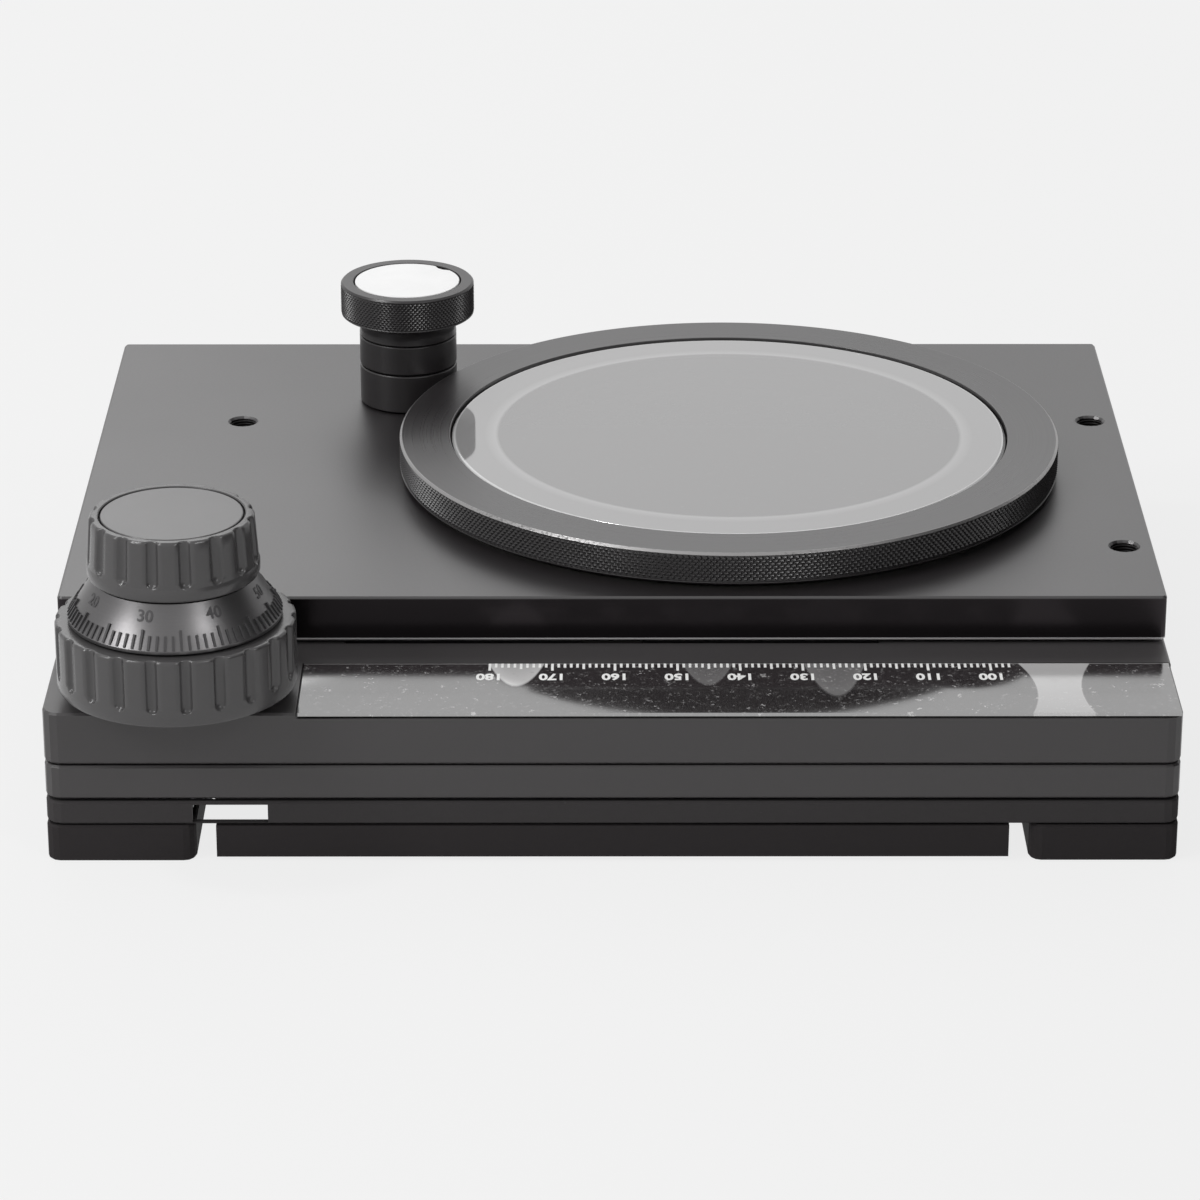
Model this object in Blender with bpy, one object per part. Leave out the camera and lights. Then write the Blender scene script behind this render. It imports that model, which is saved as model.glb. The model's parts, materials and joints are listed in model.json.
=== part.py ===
"""Mechanical microscope stage: an X and Y stage with a coaxial drive and a turning specimen ring.

Places are given in the plate frame: X runs left to right, Y runs from the front edge of the
top plate to the back, and Z is the height above the surface that the stage stands on.
The empty "stage_frame" moves that frame so that the world origin is the centre of the footprint.
"""
import math

import bmesh
import bpy
from mathutils import Vector

MM = 0.001

# Fits that all pieces share
SEAT_GAP = 0.3 * MM
RUN_GAP = 0.3 * MM
SLIDE_GAP = 0.5 * MM
OVERRUN = 1.0 * MM
ROUND_STEPS = 18
CORNER_STEPS = 3
SMOOTH_ANGLE = math.radians(35)
MERGE_DISTANCE = 0.00001 * MM

# Plate stack, from the feet up
STAGE_WIDTH = 180.0 * MM
RING_RADIUS = 56.9 * MM
RING_MARGIN = 4.45 * MM
TOP_DEPTH = 2 * (RING_RADIUS + RING_MARGIN)
LEDGE_DEPTH = 28.0 * MM
FOOT_HEIGHT = 6.2 * MM
BASE_THICKNESS = 3.9 * MM
LOWER_THICKNESS = 5.7 * MM
UPPER_THICKNESS = 8.8 * MM
TOP_THICKNESS = 7.7 * MM
TOP_CLEARANCE = 0.5 * MM
CORNER_RADIUS = 2.5 * MM
TOP_CORNER_RADIUS = 0.8 * MM
EDGE_CHAMFER = 0.35 * MM

FOOT_TOP = FOOT_HEIGHT
BASE_BOTTOM = FOOT_TOP + SEAT_GAP
BASE_TOP = BASE_BOTTOM + BASE_THICKNESS
LOWER_BOTTOM = BASE_TOP + SLIDE_GAP
LOWER_TOP = LOWER_BOTTOM + LOWER_THICKNESS
UPPER_BOTTOM = LOWER_TOP + SEAT_GAP
UPPER_TOP = UPPER_BOTTOM + UPPER_THICKNESS
TOP_BOTTOM = UPPER_TOP + TOP_CLEARANCE
TOP_TOP = TOP_BOTTOM + TOP_THICKNESS
HALF_WIDTH = STAGE_WIDTH / 2
FRONT = -LEDGE_DEPTH
BACK = TOP_DEPTH
RING_SIDE = 69.7 * MM
RING_FORWARD = 2.15 * MM
RING_X = HALF_WIDTH - RING_SIDE
RING_Y = TOP_DEPTH / 2 - RING_FORWARD
RING_LAND = 9.1 * MM
GLASS_RADIUS = RING_RADIUS - RING_LAND
GLASS_SEAT = 7.8 * MM
APERTURE_RADIUS = GLASS_RADIUS - GLASS_SEAT

# Light opening through the carriages and the base
OPENING_LEFT_WALL = 40.0 * MM
OPENING_RIGHT_WALL = 26.0 * MM
OPENING_LEFT = -HALF_WIDTH + OPENING_LEFT_WALL
OPENING_RIGHT = HALF_WIDTH - OPENING_RIGHT_WALL
OPENING_MARGIN = 3.0 * MM
OPENING_SHIFT = 0.2 * MM
OPENING_FRONT = RING_Y - OPENING_SHIFT - APERTURE_RADIUS - OPENING_MARGIN
OPENING_BACK = RING_Y - OPENING_SHIFT + APERTURE_RADIUS + OPENING_MARGIN
OPENING_RADIUS = 12.0 * MM

# Place of the coaxial drive on the ledge
KNOB_INSET = 7.4 * MM
KNOB_SIDE = 21.1 * MM
KNOB_CLEARANCE = 1.6 * MM
KNOB_X = -HALF_WIDTH + KNOB_SIDE
KNOB_Y = FRONT + KNOB_INSET

# Feet, skirts and the window in the base's front wall
FOOT_WIDTH = 23.7 * MM
FOOT_INNER = HALF_WIDTH - FOOT_WIDTH
FOOT_RADIUS = 2.0 * MM
SKIRT_NOTCH = 3.3 * MM
SKIRT_HALF_WIDTH = FOOT_INNER - SKIRT_NOTCH
SKIRT_THICKNESS = 1.2 * MM
SKIRT_LIFT = 0.8 * MM
SKIRT_FLANGE = 9.0 * MM
SKIRT_FLANGE_INSET = 13.0 * MM
SKIRT_FLANGE_HALF_WIDTH = SKIRT_HALF_WIDTH - SKIRT_FLANGE_INSET
FRONT_WALL = 1.2 * MM
WINDOW_WIDTH = 12.0 * MM
WINDOW_OFFSET = 2.2 * MM
WINDOW_LEFT = KNOB_X + WINDOW_OFFSET
WINDOW_RIGHT = WINDOW_LEFT + WINDOW_WIDTH
WINDOW_SILL = 0.3 * MM
WINDOW_HEIGHT = 3.1 * MM

# Coaxial drive on the ledge: the large knob clears the front edge of the top plate
X_KNOB_RADIUS = -KNOB_Y - KNOB_CLEARANCE
X_KNOB_LIFT = 2.6 * MM
X_KNOB_HEIGHT = 11.1 * MM
X_KNOB_FLUTES = 22
Y_KNOB_HEIGHT = 9.8 * MM
Y_KNOB_FLARE = 0.7 * MM
Y_KNOB_FLUTES = 16
FLUTE_RADIUS = 0.95 * MM
FLUTE_DEPTH = 0.75 * MM
FLUTE_STEPS = 3
KNOB_BAND = 2.3 * MM
KNOB_CHAMFER = 0.7 * MM
DIAL_STEP = 2.1 * MM
DIAL_SLOPE = 4.0 * MM
DIAL_BASE_RADIUS = X_KNOB_RADIUS - DIAL_STEP
Y_KNOB_RADIUS = DIAL_BASE_RADIUS - DIAL_SLOPE
DIAL_HEIGHT = 6.9 * MM
DIAL_RIM = 0.6 * MM
CAP_RIM = 1.7 * MM
CAP_RADIUS = Y_KNOB_RADIUS - CAP_RIM
CAP_DEPTH = 1.2 * MM

Y_SHAFT_RADIUS = 1.7 * MM
X_SHAFT_WALL = 1.3 * MM
BUSH_WALL = 2.0 * MM
BUSH_FLANGE_MARGIN = 0.5 * MM
BUSH_FLANGE_RADIUS = KNOB_INSET - BUSH_FLANGE_MARGIN
BUSH_FLANGE_HEIGHT = 1.6 * MM

# Wire drive of the top plate
WIRE_RADIUS = 0.4 * MM
WIRE_TURN_RADIUS = 5.0 * MM
WIRE_LIFT = 3.6 * MM
DRUM_HEIGHT = 4.4 * MM
DRUM_FLANGE = 0.9 * MM
DRUM_LIP = 0.8 * MM
IDLER_SIDE = 14.0 * MM
IDLER_X = HALF_WIDTH - IDLER_SIDE
IDLER_PIN_RADIUS = 2.0 * MM
WIRE_SIDES = 6
POCKET_MARGIN = 0.6 * MM
POCKET_ROOF = 1.6 * MM

# Bracket from the top plate to the wire
BRACKET_WIDTH = 10.0 * MM
BRACKET_WALL = 2.4 * MM
BRACKET_EDGE = 0.4 * MM
JAW_WALL = 1.3 * MM
JAW_HEIGHT = 3.6 * MM
X_TRAVEL = 38.0 * MM
Y_TRAVEL = 50.0 * MM

# Rack and pinion of the Y carriage
GEAR_MODULE = 0.6 * MM
PINION_TEETH = 16
PINION_WIDTH = 1.8 * MM
PRESSURE_ANGLE = math.radians(20)
ADDENDUM_SHARE = 1.0
DEDENDUM_SHARE = 1.3
BACKLASH = 0.12 * MM
RACK_THICKNESS = 1.8 * MM
RACK_DEPTH = 15.6 * MM
RACK_BACK = KNOB_X + GEAR_MODULE * PINION_TEETH / 2 + RACK_DEPTH
RACK_LEAD = 3.4 * MM
RACK_SCREWS = 3

# Guides: rails with a vee, cages and crossed rollers
RAIL_WIDTH = 2.5 * MM
RAIL_HEIGHT = 3.6 * MM
RAIL_SPACE = 1.4 * MM
VEE_DEPTH = 1.1 * MM
ROLLER_RADIUS = 1.0 * MM
ROLLER_LENGTH = 1.8 * MM
ROLLER_SIDES = 6
ROLLER_COUNT = 6
CAGE_THICKNESS = 0.5 * MM
CAGE_HEIGHT = 3.0 * MM
X_RAIL_MARGIN = 42.0 * MM
X_CAGE_MARGIN = 21.0 * MM
X_RAIL_HALF = HALF_WIDTH - X_RAIL_MARGIN
X_CAGE_HALF = X_RAIL_HALF - X_CAGE_MARGIN
X_GUIDE_FRONT = 3.4 * MM
X_GUIDE_BACK = 6.0 * MM
X_RAIL_LIFT = 0.75 * MM
Y_GUIDE_INSET = 5.5 * MM
Y_RAIL_LENGTH = 90.0 * MM
Y_BASE_RAIL_MARGIN = 4.7 * MM
Y_CARRIAGE_RAIL_MARGIN = 30.7 * MM
Y_CARRIAGE_RAIL_EXTRA = 4.0 * MM
Y_CAGE_LEAD = 2.0 * MM
Y_BASE_RAIL_BACK = BACK - Y_BASE_RAIL_MARGIN
Y_BASE_RAIL_FRONT = Y_BASE_RAIL_BACK - Y_RAIL_LENGTH
Y_CARRIAGE_RAIL_BACK = BACK - Y_CARRIAGE_RAIL_MARGIN
Y_CARRIAGE_RAIL_FRONT = Y_CARRIAGE_RAIL_BACK - Y_RAIL_LENGTH - Y_CARRIAGE_RAIL_EXTRA
Y_CAGE_FRONT = Y_BASE_RAIL_FRONT + Y_CAGE_LEAD
Y_CAGE_LENGTH = 50.0 * MM
CHANNEL_END = 3.0 * MM

# Specimen ring, its glass and what holds it in the top plate
RING_LIFT = 1.0 * MM
RING_HEIGHT = 5.6 * MM
RING_CHAMFER = 0.5 * MM
RING_STEPS = 56
GLASS_THICKNESS = 3.2 * MM
GLASS_CHAMFER = 0.6 * MM
GLASS_DROP = 0.3 * MM
SPIGOT_INSET = 1.6 * MM
SPIGOT_RADIUS = GLASS_RADIUS - SPIGOT_INSET
GLIDE_INNER_MARGIN = 1.2 * MM
GLIDE_WIDTH = 7.0 * MM
RETAINER_LIP = 1.5 * MM
RETAINER_RADIUS = SPIGOT_RADIUS + RETAINER_LIP
RETAINER_THICKNESS = 1.2 * MM

# Threaded holes in the top plate for clips and holders
HOLE_RADIUS = 2.3 * MM
HOLE_LEFT_SIDE = 24.7 * MM
HOLE_RIGHT_SIDE = 4.8 * MM
HOLE_FORWARD = 37.2 * MM
HOLE_BACKWARD = 22.3 * MM
HOLE_LEFT = -HALF_WIDTH + HOLE_LEFT_SIDE
HOLE_RIGHT = HALF_WIDTH - HOLE_RIGHT_SIDE
HOLE_FRONT = RING_Y - HOLE_FORWARD
HOLE_BACK = RING_Y + HOLE_BACKWARD
HOLE_CHAMFER = 0.4 * MM

# Clamp knob on its post
POST_RADIUS = 8.65 * MM
POST_GAP = 0.45 * MM
POST_DIRECTION = math.radians(148.9)
POST_DISTANCE = RING_RADIUS + POST_GAP + POST_RADIUS
POST_X = RING_X + POST_DISTANCE * math.cos(POST_DIRECTION)
POST_Y = RING_Y + POST_DISTANCE * math.sin(POST_DIRECTION)
POST_LOWER_HEIGHT = 6.8 * MM
POST_UPPER_HEIGHT = 5.2 * MM
POST_CHAMFER = 0.35 * MM
SPINDLE_RADIUS = 3.0 * MM
SPINDLE_SINK = 3.0 * MM
HEAD_RADIUS = 11.9 * MM
HEAD_NECK_HEIGHT = 3.6 * MM
HEAD_BAND_HEIGHT = 5.9 * MM
HEAD_CHAMFER = 0.4 * MM
NECK_STRAIGHT_SHARE = 0.33
NECK_CURVE_SHARE = 0.75
DISC_RADIUS = 9.3 * MM
DISC_THICKNESS = 1.0 * MM

# Scale strip on the ledge
STRIP_OFFSET = 19.3 * MM
STRIP_END = 0.4 * MM
STRIP_LEFT = KNOB_X + STRIP_OFFSET
STRIP_RIGHT = HALF_WIDTH - STRIP_END
STRIP_FRONT_MARGIN = 0.25 * MM
STRIP_BACK = -8.2 * MM
STRIP_THICKNESS = 0.6 * MM

# Screws
SCREW_RADIUS = 1.5 * MM
SCREW_HEAD_RADIUS = 2.75 * MM
SCREW_HEAD_HEIGHT = 2.2 * MM
SCREW_SIDES = 8
SOCKET_RADIUS = 1.25 * MM
FOOT_SCREW_INSET = 20.0 * MM
SMALL_SCREW_RADIUS = 0.9 * MM
SMALL_HEAD_RADIUS = 1.6 * MM
SMALL_HEAD_HEIGHT = 0.9 * MM
RACK_SCREW_INSET = 2.6 * MM
PLATE_SCREW_SIDE_INSET = 22.0 * MM
PLATE_SCREW_BACK_INSET = 10.0 * MM
PLATE_SCREW_FRONT = 5.0 * MM

# World origin: the centre of the footprint, which the large knob lengthens in front
FOOTPRINT_FRONT = KNOB_Y - X_KNOB_RADIUS
FOOTPRINT_CENTRE = (FOOTPRINT_FRONT + BACK) / 2

# Heights and radii that follow from the sizes above
PINION_RADIUS = GEAR_MODULE * PINION_TEETH / 2
PINION_TIP_RADIUS = PINION_RADIUS + ADDENDUM_SHARE * GEAR_MODULE
X_SHAFT_BORE = Y_SHAFT_RADIUS + RUN_GAP
X_SHAFT_RADIUS = X_SHAFT_BORE + X_SHAFT_WALL
BUSH_BORE = X_SHAFT_RADIUS + RUN_GAP
BUSH_RADIUS = BUSH_BORE + BUSH_WALL
WIRE_Z = UPPER_BOTTOM + WIRE_LIFT
POCKET_TOP = UPPER_TOP - POCKET_ROOF - STRIP_THICKNESS
DRUM_RIM_RADIUS = WIRE_TURN_RADIUS + DRUM_LIP
DRUM_CORE_RADIUS = WIRE_TURN_RADIUS - WIRE_RADIUS - SEAT_GAP
POCKET_RADIUS = DRUM_RIM_RADIUS + POCKET_MARGIN
X_KNOB_BOTTOM = UPPER_TOP + X_KNOB_LIFT
X_KNOB_TOP = X_KNOB_BOTTOM + X_KNOB_HEIGHT
DIAL_BOTTOM = X_KNOB_TOP + RUN_GAP
DIAL_TOP = DIAL_BOTTOM + DIAL_HEIGHT
Y_KNOB_BOTTOM = DIAL_TOP + SEAT_GAP
Y_KNOB_TOP = Y_KNOB_BOTTOM + Y_KNOB_HEIGHT
RACK_TOP = BASE_TOP - SEAT_GAP
RACK_BOTTOM = RACK_TOP - RACK_THICKNESS
RACK_PITCH_X = KNOB_X + PINION_RADIUS
RING_BOTTOM = TOP_TOP + RING_LIFT
RING_TOP = RING_BOTTOM + RING_HEIGHT
GLASS_TOP = RING_TOP - GLASS_DROP
GLASS_BOTTOM = GLASS_TOP - GLASS_THICKNESS
RING_SEAT = GLASS_BOTTOM - SEAT_GAP
GLASS_POCKET_RADIUS = GLASS_RADIUS + SEAT_GAP
PLATE_BORE = SPIGOT_RADIUS + RUN_GAP
RETAINER_BOTTOM = TOP_BOTTOM + SEAT_GAP
RETAINER_TOP = RETAINER_BOTTOM + RETAINER_THICKNESS
SPIGOT_BOTTOM = RETAINER_TOP + SEAT_GAP
RETAINER_POCKET_TOP = RETAINER_TOP + SEAT_GAP
CHANNEL_TOP = UPPER_TOP + SEAT_GAP + X_RAIL_LIFT + RAIL_HEIGHT + SEAT_GAP
GUIDE_WIDTH = 2 * RAIL_WIDTH + RAIL_SPACE
POST_BOTTOM = TOP_TOP + SEAT_GAP
POST_MIDDLE = POST_BOTTOM + POST_LOWER_HEIGHT
POST_TOP = POST_MIDDLE + SEAT_GAP + POST_UPPER_HEIGHT
HEAD_BOTTOM = POST_TOP + RUN_GAP
HEAD_SHOULDER = HEAD_BOTTOM + HEAD_NECK_HEIGHT
HEAD_TOP = HEAD_SHOULDER + HEAD_BAND_HEIGHT


def clear_scene():
    for old in list(bpy.data.objects):
        bpy.data.objects.remove(old, do_unlink=True)


def make_material(name, colour, roughness, metallic, alpha=1.0):
    material = bpy.data.materials.new(name)
    material.use_nodes = True
    shader = material.node_tree.nodes["Principled BSDF"]
    shader.inputs["Base Color"].default_value = (*colour, 1.0)
    shader.inputs["Roughness"].default_value = roughness
    shader.inputs["Metallic"].default_value = metallic
    shader.inputs["Alpha"].default_value = alpha
    return material


clear_scene()
BLACK = make_material("black_anodised", (0.075, 0.073, 0.074), 0.42, 0.6)
TOP_GREY = make_material("top_anodised", (0.16, 0.155, 0.158), 0.38, 0.6)
RING_BLACK = make_material("ring_anodised", (0.1, 0.097, 0.098), 0.4, 0.6)
KNOB = make_material("knob_plastic", (0.075, 0.073, 0.075), 0.45, 0.0)
CAP = make_material("knob_cap", (0.2, 0.198, 0.2), 0.35, 0.0)
DIAL = make_material("dial_plastic", (0.3, 0.295, 0.3), 0.38, 0.3)
STEEL = make_material("bearing_steel", (0.55, 0.55, 0.56), 0.25, 1.0)
DARK_STEEL = make_material("screw_steel", (0.12, 0.12, 0.125), 0.35, 1.0)
BRASS = make_material("drive_brass", (0.62, 0.48, 0.22), 0.35, 1.0)
GLASS = make_material("stage_glass", (0.52, 0.52, 0.52), 0.12, 0.0, 0.6)
WHITE = make_material("white_disc", (0.92, 0.92, 0.92), 0.4, 0.0)
SCALE = make_material("scale_film", (0.09, 0.088, 0.09), 0.25, 0.0)
NYLON = make_material("glide_nylon", (0.8, 0.79, 0.75), 0.5, 0.0)

STAGE_FRAME = bpy.data.objects.new("stage_frame", None)
bpy.context.collection.objects.link(STAGE_FRAME)
STAGE_FRAME.location = (0.0, -FOOTPRINT_CENTRE, 0.0)


def link_mesh(name, bm, material, location=(0.0, 0.0, 0.0), turn=0.0):
    """Turn a bmesh into a named object in the plate frame."""
    bmesh.ops.remove_doubles(bm, verts=bm.verts, dist=MERGE_DISTANCE)
    bmesh.ops.recalc_face_normals(bm, faces=bm.faces)
    mesh = bpy.data.meshes.new(name)
    bm.to_mesh(mesh)
    bm.free()
    mesh.shade_smooth()
    mesh.set_sharp_from_angle(angle=SMOOTH_ANGLE)
    mesh.materials.append(material)
    obj = bpy.data.objects.new(name, mesh)
    bpy.context.collection.objects.link(obj)
    obj.parent = STAGE_FRAME
    obj.location = location
    obj.rotation_euler = (0.0, 0.0, turn)
    return obj


def evaluate(obj):
    """Replace an object's mesh with what its modifiers make."""
    bpy.context.view_layer.update()
    graph = bpy.context.evaluated_depsgraph_get()
    mesh = bpy.data.meshes.new_from_object(obj.evaluated_get(graph))
    obj.modifiers.clear()
    obj.data = mesh


def combine(target, tools, operation):
    """Cut tools from a target, or join them to it, and drop the tools."""
    for tool in tools:
        modifier = target.modifiers.new(operation.lower(), "BOOLEAN")
        modifier.operation = operation
        modifier.solver = "EXACT"
        modifier.object = tool
        evaluate(target)
        bpy.data.objects.remove(tool, do_unlink=True)
    return target


def cut(target, *tools):
    return combine(target, tools, "DIFFERENCE")


def join(target, *tools):
    return combine(target, tools, "UNION")


def loft(name, loops, material, location=(0.0, 0.0, 0.0), turn=0.0, closed=False):
    """Skin equal loops of points in order. An open stack gets a cap at each end."""
    bm = bmesh.new()
    rings = [[bm.verts.new(point) for point in loop] for loop in loops]
    count = len(rings[0])
    pairs = list(zip(rings, rings[1:]))
    if closed:
        pairs.append((rings[-1], rings[0]))
    for lower, upper in pairs:
        for i in range(count):
            j = (i + 1) % count
            bm.faces.new((lower[i], lower[j], upper[j], upper[i]))
    if not closed:
        bm.faces.new(rings[0])
        bm.faces.new(rings[-1])
    return link_mesh(name, bm, material, location, turn)


def rounded_outline(left, right, front, back, radius, steps=CORNER_STEPS):
    """Outline of a rectangle with round corners, anticlockwise."""
    corners = (
        (right - radius, back - radius, 0.0),
        (left + radius, back - radius, 90.0),
        (left + radius, front + radius, 180.0),
        (right - radius, front + radius, 270.0),
    )
    points = []
    for x, y, start in corners:
        for step in range(steps + 1):
            angle = math.radians(start + 90.0 * step / steps)
            points.append((x + radius * math.cos(angle), y + radius * math.sin(angle)))
    return points


def plate(name, left, right, front, back, bottom, top, material, radius=CORNER_RADIUS,
          chamfer=EDGE_CHAMFER):
    """A flat plate with round corners and broken edges."""
    def level(inset, height):
        outline = rounded_outline(left + inset, right - inset, front + inset, back - inset,
                                  radius - inset)
        return [(x, y, height) for x, y in outline]

    loops = [level(chamfer, bottom), level(0.0, bottom + chamfer), level(0.0, top - chamfer),
             level(chamfer, top)]
    return loft(name, loops, material)


def block(name, left, right, front, back, bottom, top, material=BLACK):
    """A square-edged block, used for cuts and plain pieces."""
    corners = [(left, front), (right, front), (right, back), (left, back)]
    loops = [[(x, y, height) for x, y in corners] for height in (bottom, top)]
    return loft(name, loops, material)


def slab(name, left, right, front, back, bottom, top, radius, material=BLACK):
    """A block with round upright corners."""
    outline = rounded_outline(left, right, front, back, radius)
    loops = [[(x, y, height) for x, y in outline] for height in (bottom, top)]
    return loft(name, loops, material)


def circle(radius, height, steps=ROUND_STEPS):
    return [(radius * math.cos(math.tau * i / steps), radius * math.sin(math.tau * i / steps),
             height) for i in range(steps)]


def turned(name, profile, material, x=0.0, y=0.0, steps=ROUND_STEPS):
    """A solid turned piece from (radius, height) pairs, bottom to top."""
    loops = [circle(radius, height, steps) for radius, height in profile]
    return loft(name, loops, material, (x, y, 0.0))


def hollow(name, profile, material, x=0.0, y=0.0, steps=ROUND_STEPS):
    """A turned piece with an open bore from a closed (radius, height) profile."""
    loops = [circle(radius, height, steps) for radius, height in profile]
    return loft(name, loops, material, (x, y, 0.0), closed=True)


def tube(name, bore, radius, bottom, top, material, x=0.0, y=0.0, steps=ROUND_STEPS, chamfer=0.0):
    profile = [(bore, bottom), (radius - chamfer, bottom), (radius, bottom + chamfer),
               (radius, top - chamfer), (radius - chamfer, top), (bore, top)]
    if not chamfer:
        profile = [(bore, bottom), (radius, bottom), (radius, top), (bore, top)]
    return hollow(name, profile, material, x, y, steps)


def flute_circle(radius, flutes, depth, height):
    """A circle whose edge carries evenly spaced round grooves."""
    half_angle = FLUTE_RADIUS / radius
    points = []
    for flute in range(flutes):
        middle = math.tau * flute / flutes
        for step in range(FLUTE_STEPS + 1):
            share = 2.0 * step / FLUTE_STEPS - 1.0
            angle = middle + half_angle * share
            local = radius - depth * math.sqrt(max(0.0, 1.0 - share * share))
            points.append((local * math.cos(angle), local * math.sin(angle), height))
        angle = middle + math.pi / flutes
        points.append((radius * math.cos(angle), radius * math.sin(angle), height))
    return points


def knob_shell(name, radius, flare, flutes, bottom, top, bore, cap_radius, cap_depth):
    """A fluted knob: the flutes stop above a plain band, and a recess on top takes the cap."""
    def outline(size, depth, height):
        return flute_circle(size, flutes, depth, height)

    band = bottom + KNOB_BAND
    loops = [
        outline(radius + flare - KNOB_CHAMFER, 0.0, bottom),
        outline(radius + flare, 0.0, bottom + KNOB_CHAMFER),
        outline(radius + flare, 0.0, band),
        outline(radius + flare, FLUTE_DEPTH, band + FLUTE_DEPTH),
        outline(radius, FLUTE_DEPTH, top - KNOB_CHAMFER),
        outline(radius - KNOB_CHAMFER, FLUTE_DEPTH / 2, top),
    ]
    shell = loft(name, loops, KNOB, (KNOB_X, KNOB_Y, 0.0))
    cut(shell, turned("bore", [(bore, bottom - OVERRUN), (bore, top + OVERRUN)], KNOB, KNOB_X, KNOB_Y))
    recess = [(cap_radius, top - cap_depth), (cap_radius, top + OVERRUN)]
    return cut(shell, turned("recess", recess, KNOB, KNOB_X, KNOB_Y))


def screw_solid(name, x, y, head_end, shank_end, head_radius, head_height, radius):
    """One cap screw. The head is at head_end and the shank runs to shank_end."""
    way = 1.0 if shank_end > head_end else -1.0
    under_head = head_end + way * head_height
    profile = [(SOCKET_RADIUS * head_radius / SCREW_HEAD_RADIUS, head_end + way * head_height / 2),
               (SOCKET_RADIUS * head_radius / SCREW_HEAD_RADIUS, head_end),
               (head_radius, head_end), (head_radius, under_head), (radius, under_head),
               (radius, shank_end)]
    return turned(name, profile, DARK_STEEL, x, y, SCREW_SIDES)


def screw_group(name, places, head_end, shank_end, head_radius=SCREW_HEAD_RADIUS,
                head_height=SCREW_HEAD_HEIGHT, radius=SCREW_RADIUS):
    """Identical screws, numbered from 1."""
    for number, (x, y) in enumerate(places, start=1):
        screw_solid(f"{name}_{number}", x, y, head_end, shank_end, head_radius, head_height, radius)


def screw_holes(target, places, head_end, shank_end, head_radius=SCREW_HEAD_RADIUS,
                head_height=SCREW_HEAD_HEIGHT, radius=SCREW_RADIUS):
    """Counterbored holes that clear the screws of a group."""
    way = 1.0 if shank_end > head_end else -1.0
    for x, y in places:
        seat = head_end + way * (head_height + SEAT_GAP)
        profile = [(head_radius + SEAT_GAP, head_end - way * 2 * OVERRUN),
                   (head_radius + SEAT_GAP, seat), (radius + SEAT_GAP, seat),
                   (radius + SEAT_GAP, shank_end + way * OVERRUN)]
        cut(target, turned("hole", profile, BLACK, x, y, SCREW_SIDES))


def light_opening(bottom, top):
    return slab("opening", OPENING_LEFT, OPENING_RIGHT, OPENING_FRONT, OPENING_BACK,
                bottom - OVERRUN, top + OVERRUN, OPENING_RADIUS)


FOOT_SCREW_PLACES = [(side * (HALF_WIDTH + FOOT_INNER) / 2, y) for side in (-1, 1)
                     for y in (FRONT + FOOT_SCREW_INSET, BACK - FOOT_SCREW_INSET)]
FOOT_SCREW_HEAD = SKIRT_LIFT
FOOT_SCREW_END = BASE_BOTTOM + BASE_THICKNESS / 2
RACK_SCREW_X = RACK_BACK - RACK_SCREW_INSET
RACK_FRONT = KNOB_Y - RACK_LEAD
RACK_END = KNOB_Y + Y_TRAVEL + RACK_LEAD
RACK_SCREW_PLACES = [(RACK_SCREW_X, RACK_FRONT + (RACK_END - RACK_FRONT) * (i + 0.5) / RACK_SCREWS)
                     for i in range(RACK_SCREWS)]
CHANNEL_LEFT = KNOB_X - PINION_TIP_RADIUS - RUN_GAP
CHANNEL_BACK = KNOB_Y + Y_TRAVEL + PINION_TIP_RADIUS + OVERRUN
PLATE_SCREW_PLACES = [(side * (HALF_WIDTH - PLATE_SCREW_SIDE_INSET), y) for side in (-1, 1)
                      for y in (PLATE_SCREW_FRONT, BACK - PLATE_SCREW_BACK_INSET)]


def rail_outline(facing):
    """Cross-section of a rail: a bar with a vee in the side that faces the other rail."""
    half = RAIL_HEIGHT / 2
    return [(0.0, -half), (-facing * RAIL_WIDTH, -half), (-facing * RAIL_WIDTH, half), (0.0, half),
            (0.0, VEE_DEPTH), (-facing * VEE_DEPTH, 0.0), (0.0, -VEE_DEPTH)]


def rail(name, face, facing, start, end, centre_z, along):
    """A rail whose vee opens at the coordinate face, towards facing (+1 or -1)."""
    section = rail_outline(facing)
    if along == "x":
        loops = [[(place, face + across, centre_z + up) for across, up in section]
                 for place in (start, end)]
    else:
        loops = [[(face + across, place, centre_z + up) for across, up in section]
                 for place in (start, end)]
    return loft(name, loops, STEEL)


def roller(place, middle, centre_z, lean, along):
    """One crossed roller, whose axis leans in the plane across the guide."""
    across = Vector((0.0, math.sin(lean), math.cos(lean)))
    side = Vector((0.0, math.cos(lean), -math.sin(lean)))
    run = Vector((1.0, 0.0, 0.0))
    centre = Vector((place, middle, centre_z))
    if along == "y":
        across = Vector((across.y, 0.0, across.z))
        side = Vector((side.y, 0.0, side.z))
        run = Vector((0.0, 1.0, 0.0))
        centre = Vector((middle, place, centre_z))
    loops = []
    for end_share in (-0.5, 0.5):
        loop = []
        for k in range(ROLLER_SIDES):
            angle = math.tau * k / ROLLER_SIDES
            point = centre + across * (ROLLER_LENGTH * end_share)
            point += run * (ROLLER_RADIUS * math.cos(angle)) + side * (ROLLER_RADIUS * math.sin(angle))
            loop.append(point)
        loops.append(loop)
    return loft("roller", loops, STEEL)


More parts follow.
